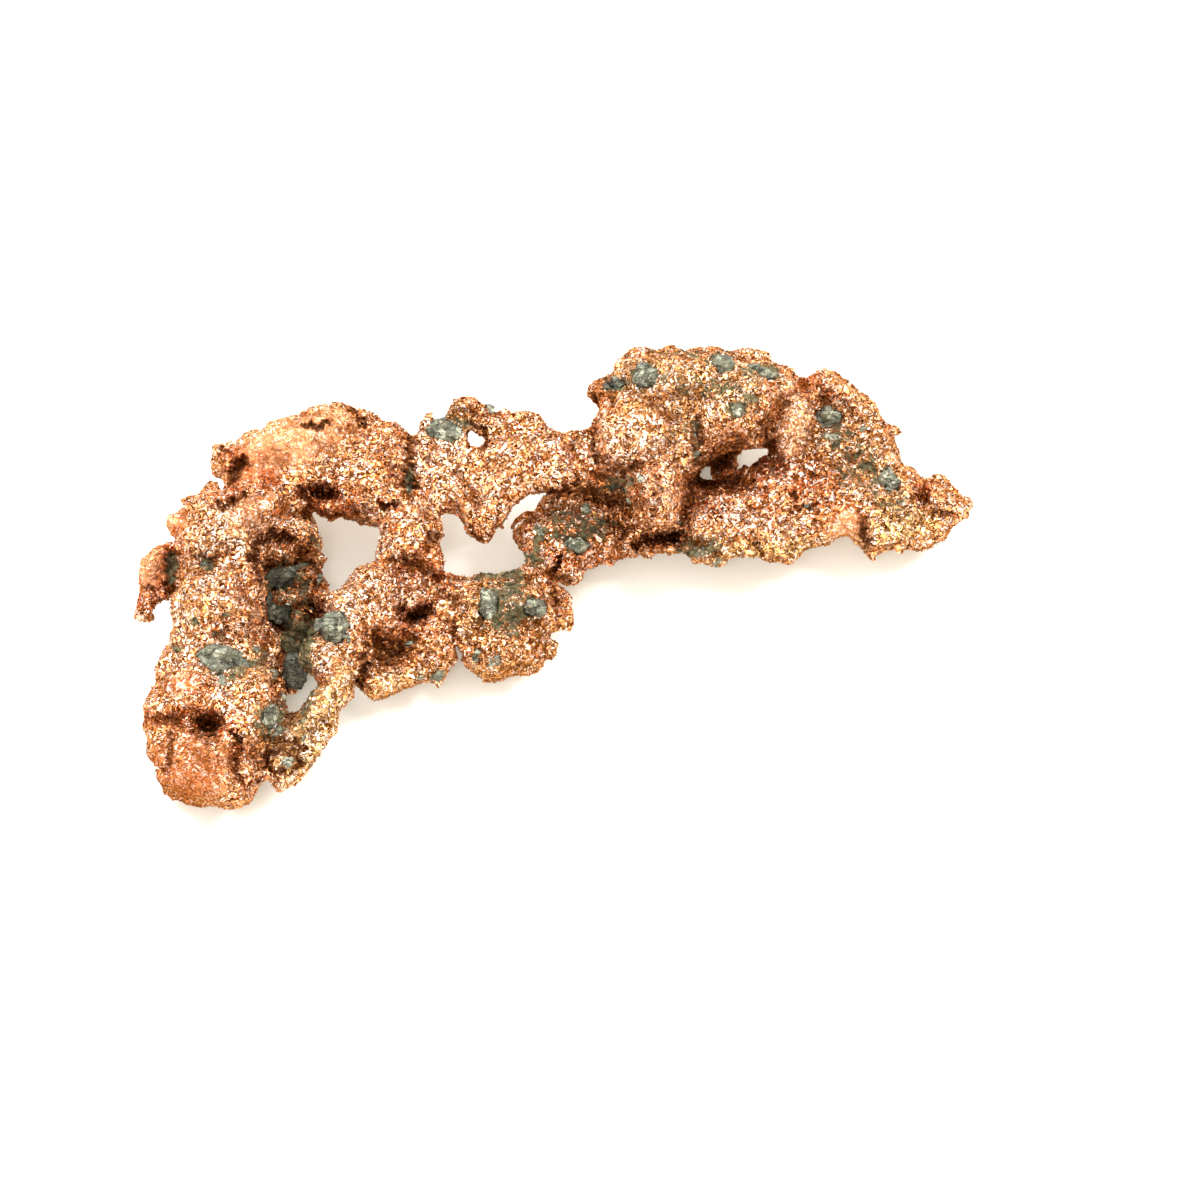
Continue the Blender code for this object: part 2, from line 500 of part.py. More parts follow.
def pit_cutter(tree):
    """The pits and the windows as one closed cutter."""
    bm = bmesh.new()
    for pit in PITS:
        point, _ = surface_at(tree, pit.across, pit.up)
        frame = show_frame(point - TOWARD * pit.sink * MM, pit.turn, pit.radii)
        bmesh.ops.create_icosphere(bm, subdivisions=LUMP_DETAIL, radius=1.0, matrix=frame)
    for window in WINDOWS:
        hole = prism(window, -30.0, 30.0)
        for vertex in hole.verts:
            vertex.co = at(vertex.co.x, vertex.co.y, 6.0, vertex.co.z)
        mesh = bpy.data.meshes.new("window")
        hole.to_mesh(mesh)
        hole.free()
        bm.from_mesh(mesh)
        bpy.data.meshes.remove(mesh)
    cutter = object_from("pits", bm)
    add_remesh(cutter, FUSE_VOXEL / 2.0)
    add_noise(cutter, "Ragged", "CLOUDS", PIT_GRAIN_SIZE, PIT_GRAIN_DEPTH)
    add_remesh(cutter, FUSE_VOXEL / 2.0)
    return apply_modifiers(cutter)


def triangles_in(mesh):
    mesh.calc_loop_triangles()
    return len(mesh.loop_triangles)


def roughen(mass):
    """Uneven swells and knobs over the whole skin."""
    add_remesh(mass, FINE_VOXEL)
    add_noise(mass, "Swells", "CLOUDS", SWELL_SIZE, SWELL_DEPTH)
    add_noise(mass, "Knobs", "VORONOI", KNOB_SIZE, -KNOB_DEPTH)
    add_remesh(mass, FINE_VOXEL)
    apply_modifiers(mass)


def facet(mass):
    """Leaves flat facets."""
    add_remesh(mass, FINE_VOXEL)
    add_smooth(mass, 1)
    apply_modifiers(mass)
    facets = mass.modifiers.new("Facets", "DECIMATE")
    facets.ratio = COPPER_TRIANGLES / triangles_in(mass.data)
    apply_modifiers(mass)


def plane_feet(mass):
    """Cuts away what reaches below the table, which leaves the feet flat."""
    bm = bmesh.new()
    bmesh.ops.create_cube(bm, size=TABLE_BLOCK)
    bmesh.ops.translate(bm, verts=bm.verts, vec=(0.0, 0.0, -TABLE_BLOCK / 2.0))
    cut(mass, object_from("table", bm))


def grain_hull(grain, frame):
    """A bmesh of the grain: the convex hull of scattered points, which gives it broken flat faces."""
    scatter = random.Random(grain.name)
    bm = bmesh.new()
    for _ in range(GRAIN_POINTS):
        point = Vector([scatter.gauss(0.0, 1.0) for _ in range(3)]).normalized()
        bm.verts.new(frame @ (point * (1.0 - GRAIN_ROUGHNESS * scatter.random())))
    hull = bmesh.ops.convex_hull(bm, input=bm.verts)
    spare = {v for v in hull["geom_interior"] + hull["geom_unused"] if isinstance(v, bmesh.types.BMVert)}
    bmesh.ops.delete(bm, geom=list(spare), context="VERTS")
    bmesh.ops.recalc_face_normals(bm, faces=bm.faces)
    return bm


def set_grain(mass, tree, grain):
    """Cuts the grain's pocket in the metal and returns the grain's object."""
    point, normal = surface_at(tree, grain.across, grain.up)
    centre = point - normal * grain.sink * MM
    pocket_radii = [radius + POCKET_GAP for radius in grain.radii]
    pocket = grain_hull(grain, show_frame(centre, grain.turn, pocket_radii))
    cut(mass, object_from("pocket", pocket))
    return object_from(grain.name, grain_hull(grain, show_frame(centre, grain.turn, grain.radii)))


def add_finish(objects, name, finish):
    colour, roughness, metallic = finish
    material = bpy.data.materials.new(name)
    material.use_nodes = True
    shader = material.node_tree.nodes["Principled BSDF"]
    shader.inputs["Base Color"].default_value = colour
    shader.inputs["Roughness"].default_value = roughness
    shader.inputs["Metallic"].default_value = metallic
    for obj in objects:
        obj.data.materials.clear()
        obj.data.materials.append(material)


def move_to_origin(objects):
    """Puts the origin under the middle of the nugget's box, at the table."""
    corners = np.array([v.co for obj in objects for v in obj.data.vertices])
    low, high = corners.min(0), corners.max(0)
    shift = Vector((-(low[0] + high[0]) / 2.0, -(low[1] + high[1]) / 2.0, -low[2]))
    for obj in objects:
        obj.data.transform(Matrix.Translation(shift))
    return shift


def main():
    for obj in list(bpy.data.objects):
        bpy.data.objects.remove(obj)
    mass = fused_mass()
    roughen(mass)
    cut(mass, pit_cutter(tree_of(mass)))
    facet(mass)
    plane_feet(mass)
    tree = tree_of(mass)
    grains = [set_grain(mass, tree, grain) for grain in GRAINS]
    add_finish([mass], "native_copper", COPPER_FINISH)
    add_finish(grains, "matrix_rock", ROCK_FINISH)
    return move_to_origin([mass, *grains])


if __name__ == "__main__":
    main()
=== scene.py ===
"""Looks for the native copper nugget: hackly bright metal, the rock it grips, and a pale stage."""

import math
import random

import bmesh
import bpy
import numpy as np
from bpy.props import FloatProperty, FloatVectorProperty, IntProperty, PointerProperty
from bpy.types import NodeSocket, Operator, Panel, PropertyGroup
from mathutils import Matrix, Vector
from mathutils.bvhtree import BVHTree


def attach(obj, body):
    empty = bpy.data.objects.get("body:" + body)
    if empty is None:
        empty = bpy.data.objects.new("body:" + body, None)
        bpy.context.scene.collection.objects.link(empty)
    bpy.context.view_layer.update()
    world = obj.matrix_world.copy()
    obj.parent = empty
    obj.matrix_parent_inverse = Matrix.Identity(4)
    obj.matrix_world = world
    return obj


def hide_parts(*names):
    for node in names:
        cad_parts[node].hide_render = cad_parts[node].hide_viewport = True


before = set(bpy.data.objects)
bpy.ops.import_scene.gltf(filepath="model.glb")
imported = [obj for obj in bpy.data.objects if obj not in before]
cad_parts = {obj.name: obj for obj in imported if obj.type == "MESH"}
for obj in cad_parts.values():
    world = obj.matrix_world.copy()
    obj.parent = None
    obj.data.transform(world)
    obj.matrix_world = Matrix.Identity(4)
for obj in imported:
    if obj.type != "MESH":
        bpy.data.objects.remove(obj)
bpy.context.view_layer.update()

bl_info = {
    "name": "Native Copper Nugget",
    "version": (1, 0, 0),
    "blender": (4, 5, 0),
    "location": "3D View > Sidebar > Nugget",
    "description": "Builds a nugget of native copper with its rock grains on a pale stage",
    "category": "Add Mesh",
}

MM = 0.001
METAL_NODE = "copper_nugget"
METAL_PIECE = "native_copper"
ROCK_MATERIAL = "Matrix rock"

# The show plane: across runs along +X, up climbs the leaning plane, toward points at the viewer.
SHOW_TILT = math.radians(55.0)
SIN_TILT, COS_TILT = math.sin(SHOW_TILT), math.cos(SHOW_TILT)
ACROSS = Vector((1.0, 0.0, 0.0))
UP = Vector((0.0, SIN_TILT, COS_TILT))
TOWARD = Vector((0.0, -COS_TILT, SIN_TILT))
SHOW_AXES = Matrix((ACROSS, UP, TOWARD)).transposed().to_4x4()
LAYOUT_SHIFT = Vector((0.025, -22.669, 0.0)) * MM  # from the layout's zero to the frame's origin

MID_HEIGHT = 7.0  # of the metal above the table, in mm
IN_FRONT = 100.0  # well clear of the nugget, toward the viewer, in mm
CUT_REACH = 30.0  # of the notches' cutters, to each side of the mid height, in mm
FUSE_VOXEL = 0.22  # of the mesh that fuses the lumps, in mm
FUSE_ROUNDS, SKIN_ROUNDS = 16, 4  # of smoothing after each remesh
HOLLOW_ROUNDS = {"hollow_fine": 3, "hollow_broad": 40}  # of blurring that each hollow is measured from
ZONE_FULL, ZONE_FADE = 0.4, 1.0  # where a place is at full strength, and how it fades, in half widths
ZONE_WANDER = 0.09  # of a place's border, in half widths
JOIN_REACH = 1e-6  # within which loose corners are one, in metres
SQUARE_MM = 1e6  # in a square metre
SIX_STEPS = [step * math.pi / 3 for step in range(6)]
TWELVE_STEPS = [step * math.pi / 6 for step in range(12)]


# ---------------------------------------------------------------- places on the nugget


def at(across, up, height, toward=0.0):
    """The point at (across, up) mm on the show plane and at that height, then `toward` the viewer."""
    depth = (up - height * COS_TILT) / SIN_TILT
    return (Vector((across, depth, height)) + TOWARD * toward) * MM + LAYOUT_SHIFT


def layout_of(points):
    """The (across, up) of each point, in mm, as two arrays."""
    local = (points - np.array(LAYOUT_SHIFT)) / MM
    return local[:, 0], local[:, 1] * SIN_TILT + local[:, 2] * COS_TILT


def eased(share, strength=1.0):
    """A share of 0 to 1 with a soft start and end, times a strength."""
    return strength * share * share * (3.0 - 2.0 * share)


# ---------------------------------------------------------------- meshes


def new_object(name, data):
    obj = bpy.data.objects.new(name, data)
    bpy.context.scene.collection.objects.link(obj)
    return obj


def object_from(bm, name):
    """A new object from a bmesh, which is freed."""
    mesh = bpy.data.meshes.new(name)
    bm.to_mesh(mesh)
    bm.free()
    return new_object(name, mesh)


def merged_copy(node, name):
    """A copy of a CAD node's mesh with its loose triangles joined, as a new object."""
    bm = bmesh.new()
    bm.from_mesh(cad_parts[node].data)
    bmesh.ops.remove_doubles(bm, verts=bm.verts, dist=JOIN_REACH)
    return object_from(bm, name)


def apply_modifiers(obj):
    graph = bpy.context.evaluated_depsgraph_get()
    made = bpy.data.meshes.new_from_object(obj.evaluated_get(graph))
    obj.modifiers.clear()
    spent, obj.data = obj.data, made
    bpy.data.meshes.remove(spent)


def even_out(obj, voxel, rounds):
    """Remeshes to even cells of a size in mm, and softens their facets."""
    remesh = obj.modifiers.new("Even out", "REMESH")
    remesh.mode = "VOXEL"
    remesh.voxel_size = voxel * MM
    smooth = obj.modifiers.new("Soften facets", "SMOOTH")
    smooth.factor = 0.5
    smooth.iterations = rounds
    apply_modifiers(obj)


def triangles_in(mesh):
    mesh.calc_loop_triangles()
    return len(mesh.loop_triangles)


def points_of(mesh):
    points = np.empty(len(mesh.vertices) * 3)
    mesh.vertices.foreach_get("co", points)
    return points.reshape(-1, 3)


def set_points(mesh, points):
    mesh.vertices.foreach_set("co", points.astype(np.float32).ravel())
    mesh.update()


def keep_above_table(mesh):
    points = points_of(mesh)
    points[:, 2] = np.maximum(points[:, 2], 0.0)
    set_points(mesh, points)


def set_attribute(mesh, name, values):
    found = mesh.attributes.get(name) or mesh.attributes.new(name, "FLOAT", "POINT")
    found.data.foreach_set("value", values.astype(np.float32))


def skin_tree():
    """The metal's skin, ready for rays."""
    return BVHTree.FromObject(bpy.data.objects[METAL_PIECE], bpy.context.evaluated_depsgraph_get())


# ---------------------------------------------------------------- node trees


def set_inputs(tree, node, values):
    """Sets or links a node's inputs, by name or number."""
    for key, value in values.items():
        if isinstance(value, NodeSocket):
            tree.links.new(value, node.inputs[key])
        else:
            node.inputs[key].default_value = value


def add(tree, kind, inputs=None, **settings):
    """Adds a node with its settings and inputs."""
    made = tree.nodes.new(kind)
    for name, value in settings.items():
        setattr(made, name, value)
    set_inputs(tree, made, inputs or {})
    return made


def math_node(tree, operation, first, second=0.0, clamp=False):
    return add(tree, "ShaderNodeMath", {0: first, 1: second}, operation=operation, use_clamp=clamp).outputs[0]


def plus(tree, first, second):
    return math_node(tree, "ADD", first, second)


def minus(tree, first, second):
    return math_node(tree, "SUBTRACT", first, second)


def per(tree, size):
    return math_node(tree, "DIVIDE", 1.0, size)


def times(tree, product, *others):
    """The product of sockets and numbers."""
    for other in others:
        if isinstance(product, NodeSocket) or isinstance(other, NodeSocket):
            product = math_node(tree, "MULTIPLY", product, other)
        else:
            product = product * other
    return product


def ramp(tree, value, low, high, to_low=0.0, to_high=1.0):
    """Maps low..high to to_low..to_high, held at both ends."""
    inputs = {"Value": value, "From Min": low, "From Max": high, "To Min": to_low, "To Max": to_high}
    return add(tree, "ShaderNodeMapRange", inputs).outputs["Result"]


def combined(tree, operation, first, second, output=0):
    return add(tree, "ShaderNodeVectorMath", {0: first, 1: second}, operation=operation).outputs[output]


def scaled(tree, vector, factor):
    return add(tree, "ShaderNodeVectorMath", {0: vector, "Scale": factor}, operation="SCALE").outputs[0]


def noise(tree, place, scale, detail=2.0, output=0, **inputs):
    values = {"Vector": place, "Scale": scale, "Detail": detail, **inputs}
    return add(tree, "ShaderNodeTexNoise", values).outputs[output]


def contour(tree, value, level):
    """How far a value is from a level: a ramp of it draws the winding lines along that level."""
    return math_node(tree, "ABSOLUTE", minus(tree, value, level))


def tilted_facets(tree, place, scale, warp):
    """Height of small planes that each tilt their own way, about -0.5 to 0.5, with their cells and place."""
    wander = noise(tree, place, times(tree, scale, 0.35), output=1)
    drift = combined(tree, "SUBTRACT", wander, (0.5, 0.5, 0.5))
    warped = combined(tree, "ADD", scaled(tree, place, scale), scaled(tree, drift, warp))
    cells = add(tree, "ShaderNodeTexVoronoi", {"Vector": warped, "Scale": 1.0}, feature="F1")
    lean = combined(tree, "SUBTRACT", cells.outputs["Color"], (0.5, 0.5, 0.5))
    away = combined(tree, "SUBTRACT", warped, cells.outputs["Position"])
    return combined(tree, "DOT_PRODUCT", lean, away, "Value"), cells, warped


def geometry_tree(name, *labels):
    """A geometry node tree with a Geometry input and output and the named float inputs."""
    tree = bpy.data.node_groups.new(name, "GeometryNodeTree")
    tree.interface.new_socket("Geometry", in_out="INPUT", socket_type="NodeSocketGeometry")
    for label in labels:
        tree.interface.new_socket(label, in_out="INPUT", socket_type="NodeSocketFloat").default_value = 1.0
    tree.interface.new_socket("Geometry", in_out="OUTPUT", socket_type="NodeSocketGeometry")
    return tree, tree.nodes.new("NodeGroupInput").outputs, tree.nodes.new("NodeGroupOutput").inputs


def add_geometry_nodes(obj, tree, values):
    """Applies a geometry node tree to an object, with its inputs set by identifier."""
    modifier = obj.modifiers.new(tree.name, "NODES")
    modifier.node_group = tree
    for item in tree.interface.items_tree:
        if item.in_out == "INPUT" and item.name in values:
            modifier[item.identifier] = values[item.name]
    apply_modifiers(obj)


def position_in_mm(tree):
    return scaled(tree, add(tree, "GeometryNodeInputPosition").outputs[0], 1 / MM)


def calm_places(tree):
    return add(tree, "GeometryNodeInputNamedAttribute", {"Name": "calm"}, data_type="FLOAT").outputs[0]


def push_out(tree, given, result, normal, push):
    """Ends a tree by moving the skin along its normals, by a push in metres."""
    inputs = {"Geometry": given["Geometry"], "Offset": scaled(tree, normal, push)}
    tree.links.new(add(tree, "GeometryNodeSetPosition", inputs).outputs[0], result[0])


# ---------------------------------------------------------------- materials


def attribute(tree, name):
    return add(tree, "ShaderNodeAttribute", attribute_name=name).outputs["Fac"]


def mix(tree, share, first, second):
    """Mixes two colours, each a socket or an RGB triple."""
    made = add(tree, "ShaderNodeMix", data_type="RGBA", clamp_factor=True)
    first, second = (value if isinstance(value, NodeSocket) else (*value, 1.0) for value in (first, second))
    set_inputs(tree, made, {0: share, 6: first, 7: second})
    return made.outputs[2]


def bumped(tree, height, depth):
    """A normal that a height bends, with the height's depth in mm."""
    return add(tree, "ShaderNodeBump", {"Height": height, "Strength": 1.0, "Distance": depth * MM}).outputs[0]


def object_place(tree):
    """The place on the object, in mm."""
    return scaled(tree, add(tree, "ShaderNodeTexCoord").outputs["Object"], 1 / MM)


def new_material(name):
    """A material, its node tree and its shader."""
    material = bpy.data.materials.new(name)
    material.use_nodes = True
    return material, material.node_tree, material.node_tree.nodes["Principled BSDF"]


def amount(label, description, default, smallest=0.0, unit="NONE"):
    return FloatProperty(name=label, description=description, default=default, min=smallest, unit=unit)


def size(label, description, default, smallest=0.0):
    return amount(label, f"{description}, in mm", default, smallest)


def colour(label, description, default, top=1.0):
    return FloatVectorProperty(
        name=label, description=description, subtype="COLOR", default=default, min=0.0, max=top
    )


# ---------------------------------------------------------------- the metal


# Lumps that are fused to the metal: across, up, half width, half height, half depth, turn, lift (mm, degrees)
LUMPS = (
    (-34.4, 32.2, 0.45, 0.95, 0.6, 8, 0), (-36.5, 30.6, 0.8, 0.45, 0.6, 20, 0),
    (-38, 28.6, 1, 1.05, 0.9, -15, 0.2), (-33.5, 35.5, 1, 1.15, 0.9, 0, 0.3),
    (-33.7, 34, 0.9, 1.05, 0.9, 0, 0.3), (-34.2, 36.2, 0.5, 0.5, 0.6, 0, 0.2),
    (-32, 36.3, 1.6, 0.7, 0.8, 2, 0.2), (-30.6, 37.3, 1, 0.6, 0.8, 20, 0.1),
    (-28.2, 37.9, 1.8, 0.6, 0.8, 20, 0), (-24.6, 39.4, 2.2, 0.7, 0.8, 22, 0),
    (-22, 40.2, 1.4, 0.6, 0.7, 5, 0), (8.4, 45.2, 1.5, 1.05, 1, 20, 0), (15.2, 45.7, 2.4, 0.7, 0.9, 0, 0),
    (20.3, 45.3, 1.5, 0.8, 0.9, -15, 0), (3.9, 41.7, 0.75, 0.9, 0.8, 0, 0.1),
    (14.7, 32, 1.1, 0.55, 0.9, 5, -0.9), (5.4, 24.7, 0.9, 0.65, 0.6, 0, 0),
    (9.2, 25.2, 0.7, 0.5, 0.6, 0, 0), (3.6, 24.4, 0.6, 0.55, 0.5, 0, 0),
    (-30.2, 37, 1.2, 0.8, 0.8, 35, 0.1), (-40.3, 23.8, 1.25, 2.1, 1.2, -8, 0.3),
    (-39.2, 24.8, 1, 1.6, 1.1, 0, 0.3), (-40.6, 21.3, 1, 1.2, 1, -10, 0.1), (-41.2, 19.4, 1, 1, 0.9, 0, 0),
    (-40.6, 18.9, 0.8, 0.5, 0.8, 0, 0), (-27.4, 25.2, 1.6, 1.1, 1.1, -8, 0.9),
    (-25.1, 22.9, 1.15, 1.15, 0.9, 0, 1), (-26.6, 21.1, 1.9, 0.85, 0.9, 8, 1),
    (-25.3, 18.6, 0.9, 1.9, 0.8, -12, 0.8), (-24.3, 27.2, 0.9, 1.8, 0.9, 20, 0.2),
    (-23.6, 24.9, 0.75, 0.8, 0.7, 40, 0.1), (11.6, 40.2, 3.2, 1.7, 1.1, -6, 0.1),
    (17, 33.8, 1.4, 1, 1, 25, -0.5), (-27.5, 25.5, 1.8, 1.2, 1.1, 12, 0.3),
    (-25.6, 28, 1.5, 0.9, 0.8, -35, 0.1), (-22.6, 14.4, 1.9, 1.7, 1.2, 0, 0.5),
    (-24, 18, 0.75, 1.4, 0.8, 0, 0.6), (-22.9, 10.6, 0.9, 4.6, 0.8, -38, 0.2),
    (-40.2, 10.3, 0.8, 0.9, 0.7, 0, 0), (-40.4, 8.3, 0.7, 0.8, 0.7, 0, 0),
    (-29.9, 2.1, 0.7, 0.6, 0.6, 30, 0), (-27.2, 2.3, 0.7, 0.55, 0.6, 0, 0),
    (-13, 38.5, 1, 0.75, 0.6, 40, 0), (-8.8, 40.6, 1.2, 0.75, 0.7, 0, 0),
    (-5.1, 39.5, 0.6, 0.55, 0.5, 0, 0), (-2.6, 39.3, 1.2, 0.55, 0.6, -10, 0),
    (-18.9, 39.2, 0.9, 0.55, 0.6, -20, 0), (-7.1, 26.9, 0.75, 0.65, 0.5, 0, 0),
    (-14.3, 20.9, 1.3, 1, 0.9, 0, 0.2), (-11.6, 12.3, 0.45, 0.5, 0.5, 0, 0),
    (-2.6, 13.9, 1.7, 0.7, 0.8, 15, 0), (-0.4, 15.8, 0.7, 1.2, 0.7, -20, 0),
    (1.3, 18.6, 0.6, 1.3, 0.6, -25, 0), (8, 37.4, 3.6, 3.2, 1.6, 0, -0.5),
    (17.2, 34.5, 1.3, 0.9, 1.2, 25, -0.6), (19.2, 33.6, 1.2, 0.6, 0.9, 15, -0.3),
    (14.1, 25, 0.65, 0.7, 0.6, 0, 0), (16.4, 24.5, 0.55, 0.65, 0.6, 0, 0),
    (23.4, 24.8, 0.75, 0.55, 0.6, 0, 0), (31.9, 25.3, 0.42, 0.85, 0.5, -12, 0),
    (34.6, 25.7, 0.6, 0.5, 0.5, 0, 0), (34.1, 37.8, 0.65, 0.42, 0.5, -10, 0),
    (38.7, 32.8, 1.1, 0.7, 0.7, -20, 0), (41.1, 30.5, 1.15, 0.75, 0.7, -15, 0),
    (34.1, 37.9, 0.9, 0.5, 0.6, -10, 0), (-19, 39.4, 0.9, 0.6, 0.6, -20, 0),
    (-12.7, 39.2, 0.7, 0.5, 0.5, 20, 0), (-5.1, 39.9, 0.45, 0.5, 0.5, 0, 0),
    (23.9, 38, 1.8, 3.4, 1.2, -10, 0.5),
)

# Notches that are cut right through, each an outline of (across, up) in mm
NOTCHES = (
    ((-9, 37.5), (-8.6, 38), (-8.1, 37.8), (-7.2, 37), (-7.3, 36.3), (-8.2, 36), (-8.9, 36.2),
     (-8.6, 36.8)),
    ((-38.6, 33.6), (-34.3, 33.15), (-33.2, 33), (-33.05, 31.8), (-33.65, 31.6), (-34.1, 32.9), (-34.6, 33),
     (-35.3, 32.3), (-35.7, 31.5), (-37.2, 31.25), (-38.6, 31.2)),
    ((-38.3, 27.3), (-37.75, 26.8), (-38.1, 26.45), (-38.9, 26.7), (-39.6, 27.2), (-39.2, 27.6)),
    ((-9.9, 10.5), (-9.85, 14.4), (-10.15, 16.7), (-9.6, 16.1), (-9.05, 15.1), (-9.5, 14.4), (-8.7, 13.3),
     (-7.9, 12.2), (-7.9, 10.5)),
    ((-19.8, 38.95), (-19.3, 38.75), (-18.9, 38.15), (-19.4, 38.2), (-19.7, 38.5)),
    ((36.3, 33.7), (36.7, 33.1), (37.4, 32.9), (37.8, 33.5), (37.4, 34.2)),
)

